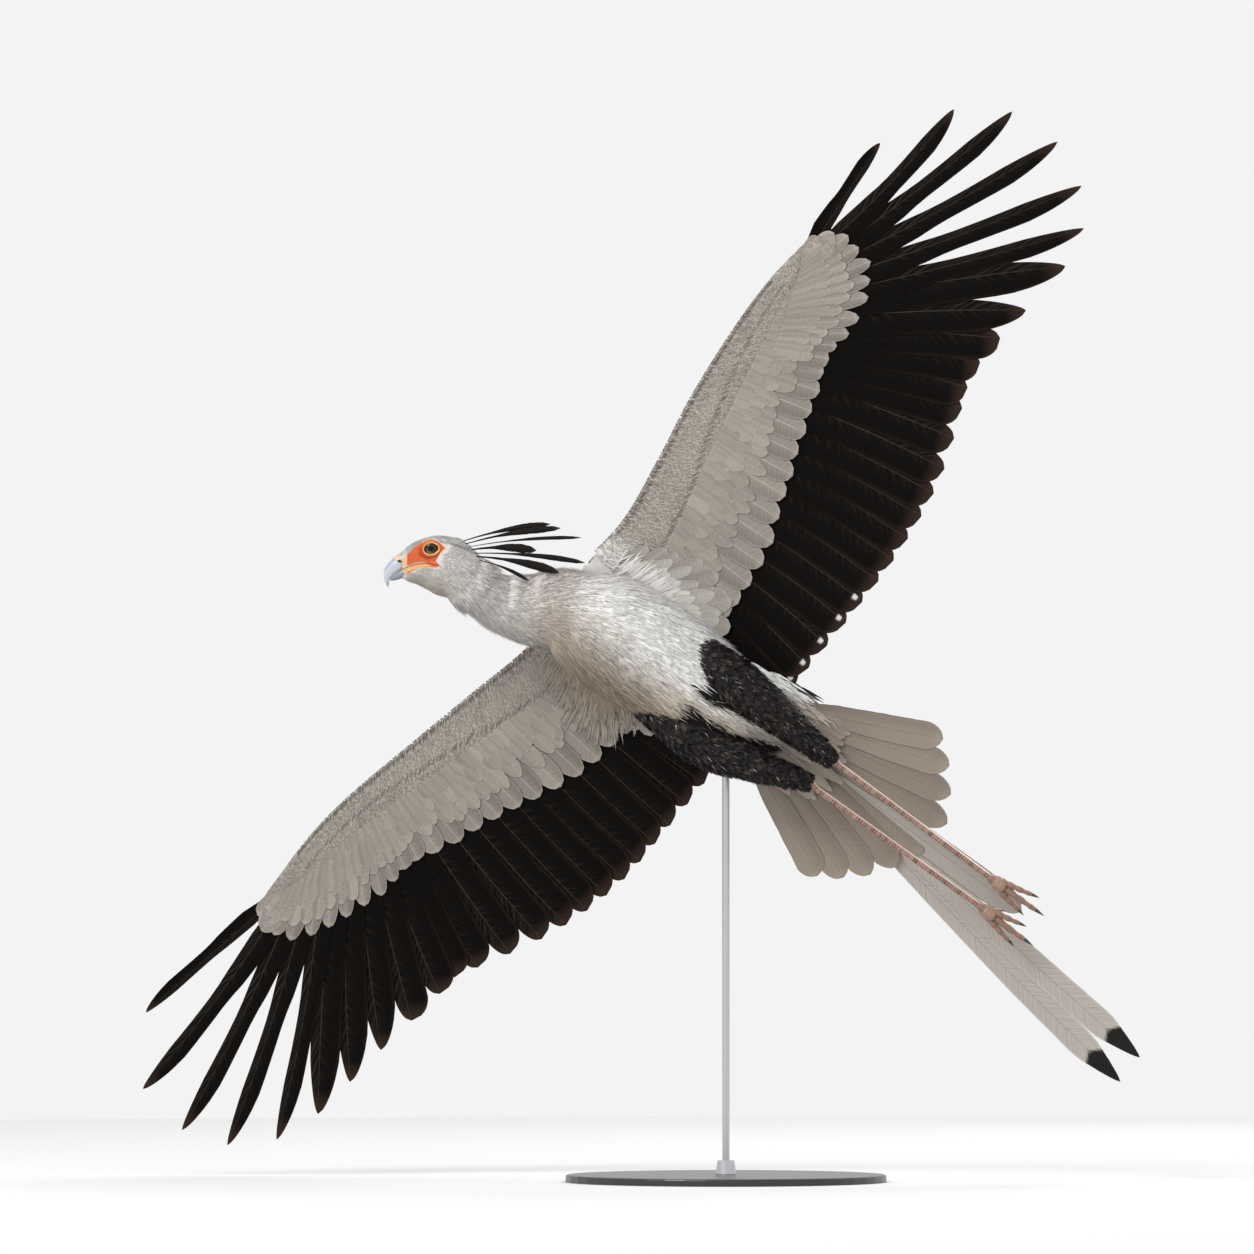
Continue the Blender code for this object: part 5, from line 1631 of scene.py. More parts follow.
# %% Eyes
PUPIL = 0.0046
IRIS_EDGE = 0.0092
ALMOND = (0.0118, 0.0090, 0.0083)

eye_finish = Graph("eye_wet", roughness=0.10, Specular_IOR_Level=0.08, Coat_Weight=0.22, Coat_Roughness=0.03)
eye_finish.finish("Base Color", eye_finish.attribute("tone"))


def eye_tone(around_axis):
    """Colour on the eye by place forward and up of its centre."""
    forward, up = around_axis.T
    reach = np.hypot(forward, up)
    # Painted light: the lower front of the iris is paler where light falls through the clear front of the
    # eye.
    iris = mix((0.036, 0.029, 0.014), (0.12, 0.11, 0.075), smooth(0.6 * forward - up, 0.003, 0.008))
    tone = mix(iris, (0.012, 0.010, 0.008), smooth(reach, IRIS_EDGE - 0.0012, IRIS_EDGE))
    return mix((0.004, 0.004, 0.004), tone, smooth(reach, PUPIL - 0.0003, PUPIL + 0.0003))


def almond(turn, grow=0.0):
    """Forward and up places round the opening of the eye."""
    c, s = np.cos(turn), np.sin(turn)
    high = np.where(s > 0, ALMOND[1], ALMOND[2])
    point = 1 - 0.45 * np.clip(-c, 0, 1) ** 4 - 0.20 * np.clip(c, 0, 1) ** 4
    return (ALMOND[0] + grow) * c * (1 + 0.12 * np.clip(-c, 0, 1) ** 6), (high + grow) * s * point


def on_eye(forward, up, lift=0.0):
    """Side place on the eyeball, plus a lift."""
    share = (forward / EYE_SIZE[0]) ** 2 + (up / EYE_SIZE[2]) ** 2
    return EYE_SIDE + EYE_SIZE[1] * np.sqrt(np.clip(1 - share, 0, 1)) + lift


def swept_ring(side, grow, radius, lift, sides=10):
    """World points of a rim swept round the eye: step, side, xyz."""
    turn = np.linspace(0, 2 * math.pi, 72, endpoint=False)[:, None]
    around = np.linspace(0, 2 * math.pi, sides, endpoint=False)[None, :]
    forward, up = almond(turn, grow)
    out = unit(np.stack((forward, up), -1))
    wide = radius * np.cos(around)
    forward2, up2 = forward + out[..., 0] * wide, up + out[..., 1] * wide
    height = on_eye(forward, up, lift) + radius * 0.8 * np.sin(around)
    return from_head(np.stack(np.broadcast_arrays(forward2, side * height, up2), -1))


def skinned(points, bm=None, closed=False):
    """Faces along a run of sections: joined to a ring where it is closed, else capped at both ends."""
    bm = bm or bmesh.new()
    verts = [[bm.verts.new(p) for p in row] for row in points]
    for row, following in zip(verts, verts[1:] + (verts[:1] if closed else [])):
        for k in range(len(row)):
            n = (k + 1) % len(row)
            bm.faces.new((row[k], row[n], following[n], following[k]))
    if not closed:
        bm.faces.new(verts[0][::-1])
        bm.faces.new(verts[-1])
        bmesh.ops.recalc_face_normals(bm, faces=bm.faces)
    return bm


def into_head(bm):
    """Move a mesh made in the head's frame to its place, and give its places in that frame."""
    local = np.array([vert.co[:] for vert in bm.verts])
    for vert, spot in zip(bm.verts, from_head(local)):
        vert.co = spot
    bmesh.ops.recalc_face_normals(bm, faces=bm.faces)
    return local


for name, side in SIDES:
    bm = bmesh.new()
    turned = Matrix.Rotation(math.radians(90), 4, "X")
    bmesh.ops.create_uvsphere(bm, u_segments=48, v_segments=32, radius=1, matrix=turned)
    bmesh.ops.scale(bm, vec=EYE_SIZE, verts=bm.verts)
    bmesh.ops.translate(bm, vec=(0, side * EYE_SIDE, 0), verts=bm.verts)
    local = into_head(bm)
    eye = piece(f"eyeball_{name}", bm, eye_finish, "eye", (f"eye_{name}",))
    store_tone(eye.data, eye_tone(local[:, (0, 2)]))

lid_finish = grained("lid_skin", None, (0.75, 0.2, 0.06), 900.0, 0.5, detail=2.0, bump=(0.3, 0.0003),
                     roughness=0.42)
line_finish = grained("lid_line", (0.015, 0.010, 0.008), (0.05, 0.03, 0.02), 400.0, 0.3, roughness=0.5)
rims, inner_rims = bmesh.new(), bmesh.new()
for side in (1, -1):
    skinned(swept_ring(side, 0.0010, 0.0012, 0.0004), rims, True)
    skinned(swept_ring(side, -0.0002, 0.0005, 0.0003, 8), inner_rims, True)
for bm in (rims, inner_rims):
    bmesh.ops.recalc_face_normals(bm, faces=bm.faces)
lids = piece("lids", rims, lid_finish, "face_skin")
lid_forward = to_head(mesh_points(lids.data))[:, 0]
store_tone(lids.data, mix((0.85, 0.36, 0.10), (0.90, 0.62, 0.25), smooth(-lid_forward, -0.004, 0.010)))
piece("lid_lines", inner_rims, line_finish, "face_skin")

LASHES = 24
lash_turn = np.tile(np.linspace(0.18, 0.86, LASHES) * math.pi, 2)
lash_side = np.repeat((1, -1), LASHES)
lash_forward, lash_up = almond(lash_turn, 0.0012)
lash_out = lash_side * on_eye(lash_forward, lash_up, 0.0004)
lash_roots = from_head(np.stack((lash_forward, lash_out, lash_up), -1))
lash_lie = np.stack((lash_forward * 20 - 0.35, lash_side * 0.75, 0.65 + 0 * lash_up), -1) @ HEAD
lash_normal = np.stack((0 * lash_up, lash_side * -0.6, 0.8 + 0 * lash_up), -1) @ HEAD
lashes = Feathers(lash_roots, lash_lie, lash_normal, (0.012, 0.010, 0.009), chart_place("head", 0.3, 0.6),
                  rng.uniform(0.0030, 0.0045, 2 * LASHES), half_width=0.00020, curl=0.25, thick=0.0002)
coat("lashes", [lashes], strand_outline, (FINE_SECTION, (0, 0.3, 0.6, 1)), dark_tuft, "face_skin")

# %% [markdown]
# ## The bill
# The upper bill is a tube that hooks down at its tip. Where it leaves the face it wears the cream
# cere with the nostril in it, and then turns to pale blue horn. The lower bill is a shorter, darker
# wedge under it.

# %% Bill
UPPER_BILL = (
    (0.0400, -0.0088, 14, 0.0096, 0.0141), (0.0483, -0.0117, 12, 0.0098, 0.0151),
    (0.0595, -0.0170, 0, 0.0086, 0.0135), (0.0683, -0.0221, -10, 0.0072, 0.0117),
    (0.0743, -0.0276, -23, 0.0056, 0.0092),
    (0.0774, -0.0325, -37, 0.0044, 0.0069), (0.0786, -0.0393, -50, 0.0032, 0.0051),
    (0.0785, -0.0460, -67, 0.0018, 0.0025), (0.0775, -0.0512, -80, 0.0006, 0.0006),
)
LOWER_BILL = (
    (0.0440, -0.0308, 14, 0.0086, 0.0075), (0.0529, -0.0328, 12, 0.0088, 0.0082),
    (0.0600, -0.0352, 0, 0.0074, 0.0068), (0.0672, -0.0370, 0, 0.0054, 0.0054),
    (0.0728, -0.0390, 0, 0.0026, 0.0030),
)
HORN_PALE = rgb(0.47, 0.50, 0.57)
HORN_DARK = rgb(0.16, 0.175, 0.20)
HORN_LOWER = rgb(0.22, 0.24, 0.275)

horn_finish = grained("bill_horn", None, (0.72, 0.70, 0.68), 120.0, 0.35, "MULTIPLY", 4.0, (1, 1, 4),
                      (0.2, 0.0003), roughness=0.34, Coat_Weight=0.25, Coat_Roughness=0.25)


def bill_shape(rings, around, along, ridge):
    """Head-frame places on a bill, with a ridge along its top and a nostril pit."""
    turn = around * 2 * math.pi
    spot = Tube(*ring_stops(rings)).at(along, turn)[0]
    spot[:, 1] *= 1 - ridge * np.clip(np.sin(turn), 0, 1) ** 2
    pit = np.hypot((spot[:, 0] - NOSTRIL[0]) / 1.6, spot[:, 2] - NOSTRIL[1])
    spot[:, 1] -= np.sign(spot[:, 1]) * 0.0022 * (1 - smooth(pit, 0.0010, 0.0024)) * (ridge > 0.1)
    return spot


def upper_tone(local):
    forward, _, up = local.T
    edge = 0.654 * forward - 0.757 * up
    ridge = np.abs(np.interp(forward, (0.05, 0.0785), (0.0, -0.022)) - up)
    horn = layered(
        HORN_PALE,
        (HORN_DARK, smooth(-up, 0.038, 0.052) * 0.8),
        (HORN_DARK, 0.45 * smooth(ridge, 0.003, 0.0005)),
    )
    on_top = smooth(up + 0.25 * (forward - 0.040), -0.0098, -0.0055)
    tone = layered(
        CERE_CREAM,
        (horn, smooth(edge, 0.0462, 0.0478)),
        (FOREHEAD_GREY, on_top * smooth(0.0555 - forward, 0, 0.0050)),
    )
    tone = tone * (1 - 0.25 * bell(edge - 0.0470, 0.0012))[:, None]
    # Painted shade: the nostril's opening is painted near black.
    tilted = (forward - NOSTRIL[0]) * 0.90 + (up - NOSTRIL[1]) * 0.43
    hole = np.hypot(tilted / 1.9, (up - NOSTRIL[1]) * 0.90 - (forward - NOSTRIL[0]) * 0.43)
    tone = mix((0.004, 0.003, 0.003), tone, smooth(hole, 0.0019, 0.0025))
    lip = smooth(line_distance(local[:, (0, 2)], MOUTH_LINE), 0.0024, 0.0010)
    return mix(tone, (0.72, 0.66, 0.52), 0.6 * lip)


def lower_tone(local):
    forward, _, up = local.T
    tone = mix(JAW_YELLOW, HORN_LOWER, smooth(forward, 0.0440, 0.0475))
    return mix(tone, HORN_DARK, smooth(-up, 0.0375, 0.0425) * 0.7)


def bill_piece(name, rings, around, along, ridge, tone, node):
    bm = wrapped(around, along, lambda a, b: bill_shape(rings, a, b, ridge))
    local = into_head(bm)
    made = piece(name, bm, horn_finish, "bill_horn", (node,))
    store_tone(made.data, tone(local))


bill_piece("horn_upper", UPPER_BILL, 72, 110, 0.22, upper_tone, "bill_upper")
bill_piece("horn_lower", LOWER_BILL, 48, 60, 0.0, lower_tone, "bill_lower")
print("bill", len(UPPER_BILL), "upper rings", len(LOWER_BILL), "lower rings")

# %% [markdown]
# ## The crest
# Loose black quills hang from the nape. Each is a thin stalk that widens to a blade near its end.

# %% Crest
CREST_TIPS = (
    (-0.196, 0.013, 0.0050), (-0.212, 0.004, 0.0055), (-0.243, -0.016, 0.0030), (-0.168, -0.0265, 0.0070),
    (-0.243, -0.057, 0.0045), (-0.200, -0.067, 0.0070), (-0.150, -0.074, 0.0030),
)
FAR_CREST = (0, 2, 4, 5)
CREST_BLACK = rgb(0.010, 0.009, 0.009)


def crest_ends():
    """Roots, tips and half widths of the quills in the head's frame, first the near side's."""
    ends = []
    for side in (1, -1):
        for index, (back, up, half_width) in enumerate(CREST_TIPS):
            if side < 0 and index not in FAR_CREST:
                continue
            share = index / (len(CREST_TIPS) - 1)
            ring = np.array(HEAD_RINGS[2]) * (1 - share) + np.array(HEAD_RINGS[1]) * share
            forward, height, pitch, wide, high = ring
            pitch, around = math.radians(pitch), math.radians(8 + 26 * share)
            reach = 0.93 * high * math.cos(around)
            root = (forward - math.sin(pitch) * reach, side * 0.93 * wide * math.sin(around),
                    height + math.cos(pitch) * reach)
            ends.append((*root, back, side * (0.012 + 0.020 * share), up, half_width))
    ends = np.array(ends)
    return ends[:, :3], ends[:, 3:6], ends[:, 6]


crest_roots, crest_tips, crest_widths = crest_ends()
crest_line = crest_tips - crest_roots
crest_normal = unit(np.cross(unit(np.cross(crest_line, (0, 1, 0))), crest_line))
crest_chart = chart_place("head", np.linspace(0.3, 0.7, len(crest_line)), 0.05)
crest = Feathers(from_head(crest_roots), crest_line @ HEAD, crest_normal @ HEAD, CREST_BLACK, crest_chart,
                 np.linalg.norm(crest_line, axis=1), half_width=crest_widths * 1.05, bow=0.005, thick=0.0005)
crest_group = crest.group(crest_outline, (VANE_SECTION, np.linspace(0, 1, 30)), ragged=0.05)
feather_mesh("crest", [crest_group], black_vane, "flight_plumage")

# %% [markdown]
# ## The tail
# Ten grey feathers open in a fan. The central pair grow far beyond them as two streamers with black
# tips, and one feather of the second pair hangs halfway. White coverts hide the roots on both faces.

# %% Tail
TAIL_ROOT = np.array((-0.346, 0.022, -0.022))
FAN_STEP = math.radians(9.3)
FAN_PAIRS = 5
FAN_ROOT_STEP = {1: 0.016, -1: 0.019}
FAN_LENGTH = {1: 0.318, -1: 0.300}
FAN_SHORTER = {1: 0.0125, -1: 0.0150}
STREAMER_TIPS = ((-1.125, -0.022), (-1.125, -0.076))
LONG_SECOND_TIP = (-0.829, 0.042)
TAIL_DROOP = 0.052


def tail_place(flat):
    forward, left, height = flat[..., 0], flat[..., 1], flat[..., 2]
    back = np.maximum(0, TAIL_ROOT[0] - forward)
    return from_bird(np.stack((forward, left, TAIL_ROOT[2] - TAIL_DROOP * (back / 0.78) ** 1.5 + height), -1))


tail_vane = feather_finish("vane_tail", (0.105, 0.080, 0.066), (0.40, 0.355, 0.31), 0.65, 0.40, 0.20,
                           shaft_width=0.020, barbs=0.12, overlap_shade=0.45, hairline=0.55, clump=90)
streamer_vane = feather_finish("vane_streamer", (0.24, 0.185, 0.155), (0.60, 0.575, 0.55), 0.62, 0.40, 0.0,
                               shaft_width=0.040, barbs=0.20, black_from=0.905, clump=170, slant=0.034)
STREAMER_GREY = rgb(0.475, 0.440, 0.405)


def fan_feathers():
    roots, tips, heights, sides = [], [], [], []
    for side in (1, -1):
        for pair in range(FAN_PAIRS):
            turn = side * FAN_STEP * (pair + 0.15)
            length = FAN_LENGTH[side] - FAN_SHORTER[side] * pair
            roots.append((TAIL_ROOT[0] - 0.012, TAIL_ROOT[1] + side * FAN_ROOT_STEP[side] * pair))
            tips.append((TAIL_ROOT[0] - length * math.cos(turn), TAIL_ROOT[1] + length * math.sin(turn)))
            heights.append(0.0022 * (FAN_PAIRS - 1 - pair) - 0.004)
            sides.append(side)
    tips[0] = LONG_SECOND_TIP
    return np.array(roots), np.array(tips), np.array(heights), np.array(sides)


fan_roots, fan_tips, fan_heights, fan_sides = fan_feathers()
fan_tones = TAIL_GREY * rng.normal(1, 0.05, (10, 1))
fan_tones[0] = STREAMER_GREY * 0.88
fan = flat_feathers(fan_roots, fan_tips, 0.0245, fan_tones,
                    chart_place("tail", np.linspace(0.1, 0.9, 10), 0.5), fan_heights,
                    roll=0.045 * fan_sides, bow=0.003 * fan_sides, thick=0.0004)
streamer_roots = TAIL_ROOT[:2] + np.array(((-0.012, 0.004), (-0.012, -0.004)))
streamers = flat_feathers(streamer_roots, np.array(STREAMER_TIPS), 0.0235, STREAMER_GREY,
                          chart_place("tail", np.array((0.45, 0.55)), 0.9), (0.0085, 0.0115),
                          roll=0.02, bow=0.008, thick=0.0005)
FAN_SHAPE = (VANE_SECTION, np.concatenate((np.linspace(0, 0.84, 18), np.linspace(0.87, 1, 9))))
STREAMER_SHAPE = (VANE_SECTION, np.concatenate((np.linspace(0, 0.9, 46), np.linspace(0.91, 1, 12))))
fan_group = fan.group(fan_outline, FAN_SHAPE, tail_place, 0.015)
feather_mesh("tail_fan", [fan_group], tail_vane, "tail_plumage", ("tail",))
streamer_group = streamers.group(streamer_outline, STREAMER_SHAPE, tail_place, 0.012)
feather_mesh("tail_streamers", [streamer_group], streamer_vane, "tail_plumage")

TAIL_COVERT_ROWS = ((0.040, 0.100, 19), (0.026, 0.088, 23), (0.010, 0.076, 27), (-0.010, 0.066, 31))


def backward_step(turn, reach):
    """Steps on the flat, backward and turned to the left."""
    return np.stack((-np.cos(turn) * reach, np.sin(turn) * reach), -1)


def tail_coverts(above):
    """Overlapping rows of soft coverts over the feathers' roots, on one face of the tail."""
    groups = []
    for row, (back, length, count) in enumerate(TAIL_COVERT_ROWS):
        across = np.clip(np.linspace(-1, 1, count) + rng.normal(0, 0.04, count), -1, 1)
        turn = across * np.radians(24 + rng.uniform(-6, 1, count))
        side = (0.064 - 0.010 * row) * across
        roots = np.stack((TAIL_ROOT[0] - back * np.cos(across) + 0.014, TAIL_ROOT[1] + side), -1)
        reach = length * rng.uniform(0.62, 1.1, count) * (1 - 0.25 * np.abs(across))
        tips = roots + backward_step(turn, reach)
        tone = mix(RUMP_WHITE, TAIL_GREY * 1.15, (0.92 - 0.22 * row) * rng.uniform(0.8, 1.0, count))
        one = flat_feathers(roots, tips, 0.0095, tone, chart_place("tail", across * 0.4 + 0.5, 0.2),
                            above * (0.0130 + 0.0010 * row) * (1 - 0.55 * across ** 2), thick=0.00025,
                            lift=-above * 0.007 * (1 - 0.5 * across ** 2))
        groups.append(one.group(leaf_outline, COVERT_SHAPE, tail_place, 0.05))
    return groups


def rump_plumes():
    """Loose white plumes beside each thigh and between them, and a few black ones at the tail's edge."""
    sets = []
    for start, end, tone, height, count, length in RUMP_PLUMES:
        share = rng.random((count, 1))
        roots = np.array(start) + (np.array(end) - np.array(start)) * share + rng.normal(0, 0.004, (count, 2))
        turn = np.sign(start[1] - 0.02) * np.radians(rng.uniform(-4, 14, count))
        reach = length * rng.uniform(0.6, 1.1, count)
        tones = varied(tone, count, 0.10)
        one = flat_feathers(roots, roots + backward_step(turn, reach), 0.0021, tones,
                            chart_place("tail", share[:, 0], 0.1), thick=0.00015,
                            lift=rng.normal(0, 0.004, count), bow=rng.normal(0, 0.002, count))
        one.root[:, 2] = height + rng.normal(0, 0.003, count)
        sets.append(one.group(strand_outline, WISP_SHAPE, tail_place))
    return sets


RUMP_PLUMES = (
    ((-0.225, 0.078), (-0.310, 0.092), FLANK_WHITE, 0.004, 170, 0.062),
    ((-0.270, 0.086), (-0.325, 0.097), (0.03, 0.026, 0.022), 0.008, 50, 0.050),
    ((-0.225, -0.020), (-0.300, -0.034), RUMP_WHITE, -0.006, 90, 0.046),
    ((-0.290, 0.060), (-0.350, 0.086), RUMP_WHITE, -0.006, 120, 0.060),
    ((-0.300, 0.020), (-0.360, 0.024), RUMP_WHITE, -0.016, 160, 0.060),
)
feather_mesh("tail_coverts", tail_coverts(1) + tail_coverts(-1), soft_vane, "tail_plumage")
feather_mesh("rump_plumes", rump_plumes(), pale_tuft, "tail_plumage")

# %% [markdown]
# ## Legs and feet
# The bare leg is one tapering tube whose front carries a ladder of overlapping plates. The toes have
# smaller plates above and round pads below, and the whole foot is joined into one closed skin.

# %% Legs
ANKLES = {"left": (-0.4285, 0.062, -0.089), "right": (-0.4235, 0.0062, -0.089)}
FEET = {"left": (-0.764, 0.070, -0.087), "right": (-0.780, 0.021, -0.087)}
TARSUS_RADIUS = 0.0056
ANKLE_RADIUS = 0.0103
FOOT_RADIUS = 0.0100
KNUCKLE_RADIUS = 0.0128
HIND_TOE_RADIUS = 0.0042
CLAW_WIDTH = 0.62  # of its toe's
TARSUS_PLATES = 76
TOES = {"inner": (0.072, 13, 0.0056), "middle": (0.094, 1, 0.0063), "outer": (0.068, -11, 0.0056)}
LEG_PINK = rgb(0.55, 0.39, 0.31)
LEG_PALE = rgb(0.78, 0.65, 0.56)
FOOT_TAN = rgb(0.34, 0.22, 0.16)
SCUTE_BROWN = rgb(0.090, 0.030, 0.024)

leg_finish = Graph("leg_scales", roughness=0.5)
leg_place = leg_finish.node("ShaderNodeTexCoord", output="Object")
leg_cells = leg_finish.node("ShaderNodeTexVoronoi", None, {"Vector": leg_place, "Scale": 520.0})
leg_colour = leg_finish.blend(leg_cells.between(0.35, 0.75) * 0.45, leg_finish.attribute("tone"),
                              (0.74, 0.56, 0.48), "MULTIPLY")
leg_finish.finish("Base Color", leg_colour)
leg_finish.bump(1 - leg_cells, 0.35, 0.0004)
claw_finish = grained("claw_horn", (0.020, 0.016, 0.014), (0.09, 0.065, 0.05), 300.0, 0.5,
                      roughness=0.3, Coat_Weight=0.2)


def plated(share, turn, plates):
    """Height from 0 to 1 over a ladder of overlapping plates on the underside, and its masks."""
    rung = np.clip(share, 0, 0.999) * plates
    phase = rung % 1
    shade = np.abs(np.sin(np.floor(rung) * 12.99) * 43758.5) % 1
    facing = smooth(-np.sin(turn - 0.10), 0.40, 0.64)
    plate = smooth(phase, 0.04, 0.14) * smooth(1 - phase, 0.04, 0.14)
    return phase ** 1.5 * facing, plate * facing * (0.60 + 0.40 * shade), facing


def section_grid(rows, columns):
    """Shares along a limb, and turns round it."""
    return np.linspace(0, 1, rows)[:, None], np.linspace(0, 2 * math.pi, columns, endpoint=False)[None, :]


def swept_limb(start, line, share, turn, size, flat, bend):
    """World points of sections of some size round a bent line in the bird's frame: row, column, xyz."""
    along = unit(line)
    across = unit(np.cross((0, 0, 1), along))
    upward = np.cross(along, across)
    centre = start + line * share[..., None] + upward * bend[..., None]
    wide, high = size * flat * np.cos(turn), size * np.sin(turn)
    return from_bird(centre + across * wide[..., None] + upward * high[..., None])


def limb(start, end, radius, columns, rows, plates, bend=0.0, plate_height=0.0006, brown=0.86, tan=0.0):
    """A closed limb in the bird's frame with plates, and its points and colours."""
    share, turn = section_grid(rows, columns)
    height, edge, facing = plated(share + 0 * turn, turn + 0 * share, plates)
    points = swept_limb(start, end - start, share, turn, radius(share) + plate_height * height, 0.9,
                        bend * np.sin(math.pi * share))
    tanned = np.maximum(tan, smooth(share + 0 * turn, 0.93, 0.99) * (rows > 200))
    tone = mix(mix(LEG_PALE, LEG_PINK, facing), FOOT_TAN, tanned)
    tone = mix(tone, SCUTE_BROWN, (brown * edge + 0.06 * facing) * (1 - 0.40 * tanned))
    return skinned(points), points.reshape(-1, 3), tone.reshape(-1, 3)


def tarsus_radius(share):
    return np.maximum(TARSUS_RADIUS, ANKLE_RADIUS * bell(share, 0.10) + FOOT_RADIUS * bell(1 - share, 0.05))


def toe_radius(radius):
    def at(share):
        pads = 1 + 0.13 * np.cos(share * 2 * math.pi * 3.5)
        return radius * np.interp(share, (0, 0.5, 0.92, 1), (1.0, 0.92, 0.62, 0.42)) * pads
    return at


def knuckle_radius(share):
    return KNUCKLE_RADIUS * np.sqrt(np.clip(1 - (share * 2 - 1) ** 4 * 0.75, 0.05, 1))


def leg_parts(name, side):
    """Meshes, points and colours of one bare leg with its foot, and the claws' stops."""
    ankle, foot = np.array(ANKLES[name]), np.array(FEET[name])
    along = unit(foot - ankle)
    parts = [
        limb(ankle - along * 0.006, foot, tarsus_radius, 28, 330, TARSUS_PLATES),
        limb(foot - along * 0.004, foot + along * 0.020, knuckle_radius, 20, 20, 3, brown=0.0, tan=1.0),
    ]
    claws = []

    def toe(root, tip, radius, claw_from, *more):
        """One toe and, from a share of the way to its tip, its claw."""
        parts.append(limb(root, root + (tip - root) * 0.84, toe_radius(radius), *more))
        claws.append((root + (tip - root) * claw_from, tip, radius * CLAW_WIDTH))

    for length, splay, radius in TOES.values():
        turn = math.radians(splay)
        c, s = math.cos(-turn * side), math.sin(-turn * side)
        heading = np.array((along[0] * c - along[1] * s, along[0] * s + along[1] * c, along[2]))
        root = foot + along * 0.009 + np.array((0, side * math.sin(turn) * 0.032, 0))
        tip = root + heading * (length - 0.006)
        toe(root, tip, radius, 0.80, 18, 110, int(length * 300), -0.0025, 0.0005, 0.9, 1.0)
    root = foot + along * 0.004 + np.array((0, -side * 0.003, 0.004))
    toe(root, root + np.array((-0.022, -side * 0.006, 0.026)), HIND_TOE_RADIUS, 0.78, 16, 60, 7, 0.0, 0.0004)
    return parts, claws


def claw_bmesh(root, tip, radius, bm):
    """A curved tapering claw."""
    share, turn = section_grid(16, 14)
    size = radius * np.interp(share, (0, 0.3, 0.8, 1), (1.05, 0.85, 0.32, 0.04))
    skinned(swept_limb(root, tip - root, share, turn, size, 0.8, -0.0028 * (share ** 2 - share * 0.6)), bm)


for name, side in SIDES:
    parts, claws = leg_parts(name, side)
    meshes = [mesh_from(bm, "limb") for bm, _, _ in parts[1:]]
    replaced = (f"leg_{name}_tarsus", f"foot_{name}")
    leg = piece(f"bare_leg_{name}", parts[0][0], leg_finish, "leg_skin", replaced)
    joined_leg = melted_together(leg, meshes, leg_finish)
    sources = np.concatenate([points for _, points, _ in parts])
    source_tones = np.concatenate([tone for _, _, tone in parts])
    store_tone(joined_leg, nearest_rows(sources, source_tones, mesh_points(joined_leg)))
    claw_bm = bmesh.new()
    for claw in claws:
        claw_bmesh(*claw, claw_bm)
    piece(f"horn_claws_{name}", claw_bm, claw_finish, "claw_horn",
          tuple(f"claw_{name}_{toe}" for toe in ("inner", "middle", "outer", "hind")))
    print(name, "leg vertices", len(joined_leg.vertices))

# %% [markdown]
# ## Long soft feathers at the armpit and the shoulder
# White axillaries run out from the flank under each wing, and grey scapulars cover the join above.

# %% Axillaries and scapulars
def scapulars(wing, count, tone, length, half_width):
    """Four rows of long soft feathers over the join of wing and back, pointing outward and back."""
    groups = []
    for row in range(4):
        x = np.linspace(0.06, 1.0, count) + rng.normal(0, 0.02, count)
        out = 0.096 - 0.020 * row + rng.normal(0, 0.004, count)
        roots = wing.on_arm(x, out, 0.02)
        turn = np.radians(np.interp(x, (0, 1), (34, 66)) + rng.normal(0, 5, count))
        reach = length * np.interp(x, (0, 0.5, 1), (0.62, 1.0, 1.15)) * rng.uniform(0.85, 1.12, count)
        reach = reach * (0.86 + 0.06 * row)
        tips = roots + np.stack((-np.sin(turn) * reach, np.cos(turn) * reach), -1)
        tones = varied(tone, count)
        one = flat_feathers(roots, tips, half_width, tones, wing.chart(1, out, 1 - x * 0.8),
                            0.0040 + 0.0012 * row, thick=0.00035, lift=-0.0015)
        groups.append(one.group(covert_outline, COVERT_SHAPE, wing.face(1), 0.03))
    return groups


AXILLARY_ROOTS = ((0.025, 0.060), (-0.015, 0.062), (-0.050, 0.058), (-0.090, 0.050))
AXILLARY_TIPS = ((0.006, 0.120), (-0.055, 0.160), (-0.122, 0.156), (-0.176, 0.118))


AXILLARY_ROWS = ((8, 0.06, 1), (8, 0.26, 0.95), (16, 0.60, 0.62))


def axillaries(wing):
    """A fan of large soft feathers under the wing's root, from outward to backward."""
    groups = []
    for row, (count, white, wide) in enumerate(AXILLARY_ROWS):
        share = np.linspace(0, 1, count)
        roots = along_curve(AXILLARY_ROOTS, share) + rng.normal(0, 0.003, (count, 2))
        tips = along_curve(AXILLARY_TIPS, share) + rng.normal(0, 0.006, (count, 2))
        tips = tips + (roots - tips) * 0.23 * row
        tones = varied(mix(COVERT_GREY, FLANK_WHITE, white), count)
        half_width = np.interp(share, (0, 1), (0.012, 0.0205)) * wide
        one = flat_feathers(roots, tips, half_width, tones, wing.chart(-1, roots[:, 1], 1 - share * 0.8),
                            0.0045 + 0.0010 * row, roll=-0.05, thick=0.00035)
        groups.append(one.group(leaf_outline if row else covert_outline, COVERT_SHAPE, wing.face(-1), 0.03))
    return groups


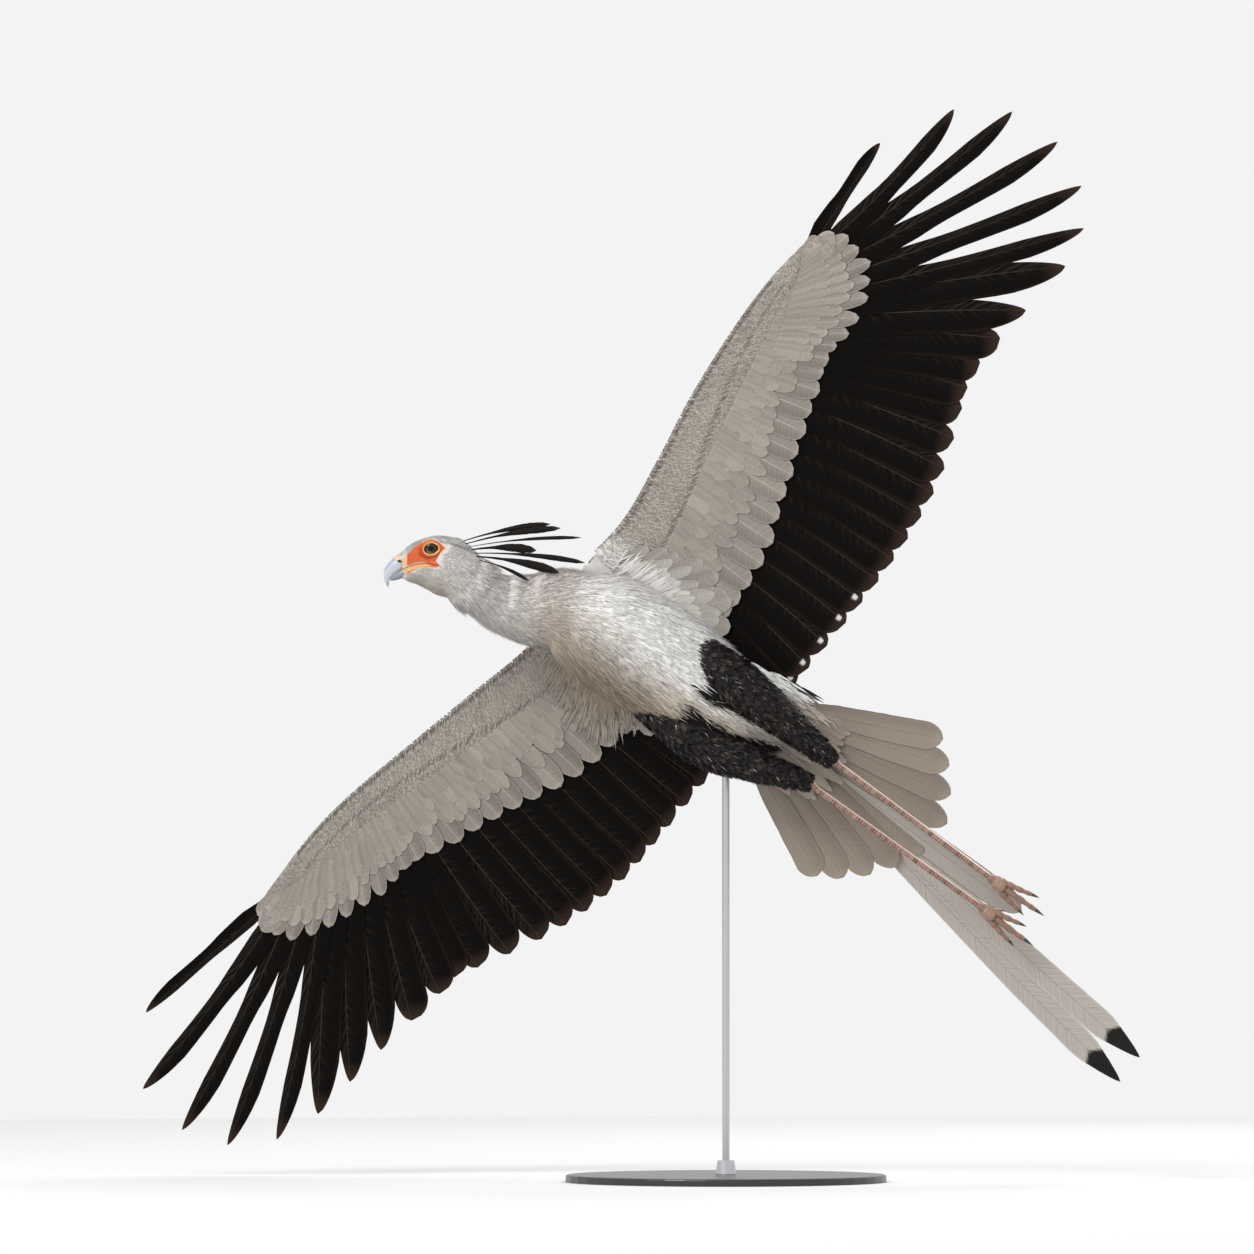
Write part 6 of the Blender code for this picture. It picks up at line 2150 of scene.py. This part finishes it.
def armpit_strands(wing, count, start, reach, height, first, last, half_width):
    """Loose soft feathers from the flank over the roots of the axillaries, in tones from first to last."""
    share = rng.random(count)
    roots = along_curve(AXILLARY_ROOTS, share) + rng.normal(0, 0.005, (count, 2)) - (0, 0.004)
    tips = along_curve(AXILLARY_TIPS, share) + rng.normal(0, 0.012, (count, 2))
    place = rng.random(count)
    shorter = 1 - 0.5 * smooth(share, 0.55, 1.0)[:, None]
    roots = roots + (tips - roots) * (start[0] + start[1] * place[:, None] * shorter)
    tips = roots + unit(tips - roots) * rng.uniform(*reach, (count, 1)) * shorter
    tones = varied(mix(first, last, place), count, 0.06)
    bow = rng.normal(0, 0.003, count)
    proud = np.interp(place, (0, 1), height) + rng.uniform(-0.001, 0.001, count)
    one = flat_feathers(roots, tips, half_width, tones, wing.chart(-1, roots[:, 1], 1 - share * 0.8), proud,
                        thick=0.00012, bow=bow, lift=-0.005)
    return [one.group(strand_outline, WISP_SHAPE, wing.face(-1))]


for wing in WINGS:
    feather_mesh(f"axillaries_{wing.name}", axillaries(wing), soft_vane, "flight_plumage")
armpits = {
    "left": armpit_strands(LEFT_WING, 900, (0.0, 0.12), (0.020, 0.054), (0.012, 0.009),
                           mix(COVERT_GREY, FLANK_WHITE, 0.72), FLANK_WHITE * 0.8, 0.0015),
    "right": armpit_strands(RIGHT_WING, 2600, (0.25, 0.62), (0.030, 0.056), (0.020, 0.008),
                            BELLY_BUFF_AND_SHADE * 0.98, COVERT_GREY * 0.95, 0.0019),
}
for name, strands in armpits.items():
    feather_mesh(f"strands_armpit_{name}", strands, pale_tuft, "flight_plumage")
for wing in WINGS:
    feather_mesh(f"scapulars_{wing.name}", scapulars(wing, 15, COVERT_TOP_GREY, 0.120, 0.0170), grey_vane,
                 "flight_plumage")

# %% [markdown]
# ## The thumb's quills
# Three short black quills lie along the front edge of each hand and break its outline at the wrist.

# %% Alula
ALULA_LENGTHS = np.array((0.115, 0.092, 0.070))
ALULA_TURNS = np.radians((16, 12.5, 9))


def alula(wing):
    out = wing.ulna[-1][1] + 0.012 * np.arange(3)
    roots = np.stack((wing.front(out) - 0.008, out), -1)
    slope = (wing.front(out + ALULA_LENGTHS) - wing.front(out)) / ALULA_LENGTHS
    turn = np.arctan(slope) - ALULA_TURNS
    tips = roots + np.stack((np.sin(turn), np.cos(turn)), -1) * ALULA_LENGTHS[:, None]
    one = flat_feathers(roots, tips, 0.0095, BLACK, wing.chart(-1, out, 0.98), 0.0015 * np.arange(3) - 0.0015,
                        thick=0.0004, bow=0.004 * wing.side)
    return [one.group(covert_outline, COVERT_SHAPE, wing.place, 0.01)]


for wing in WINGS:
    feather_mesh(f"alula_{wing.name}", alula(wing), black_vane, "flight_plumage")

# %% [markdown]
# ## The stand
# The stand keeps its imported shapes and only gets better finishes: satin black paint on the base, and
# brushed steel on the boss and the rod.

# %% Stand finishes
base_finish = grained("stand_satin_black", (0.018, 0.018, 0.019), (0.035, 0.035, 0.036), 220.0, 0.3,
                      bump=(0.08, 0.0003), roughness=0.38, Coat_Weight=0.15)
steel_finish = grained("stand_steel_brushed", (0.56, 0.57, 0.59), (0.46, 0.47, 0.49), 60.0, 0.4,
                       stretch=(1, 1, 40), bump=(0.12, 0.0002), roughness=0.32, metallic=1.0)
for node, finish in (("stand_base", base_finish), ("stand_boss", steel_finish), ("stand_rod", steel_finish)):
    for kept in bpy.data.objects:
        if kept.type == "MESH" and kept.name.split(".")[0] == node:
            for slot in kept.material_slots:
                slot.material = finish.material
print("stand finished")

# %% [markdown]
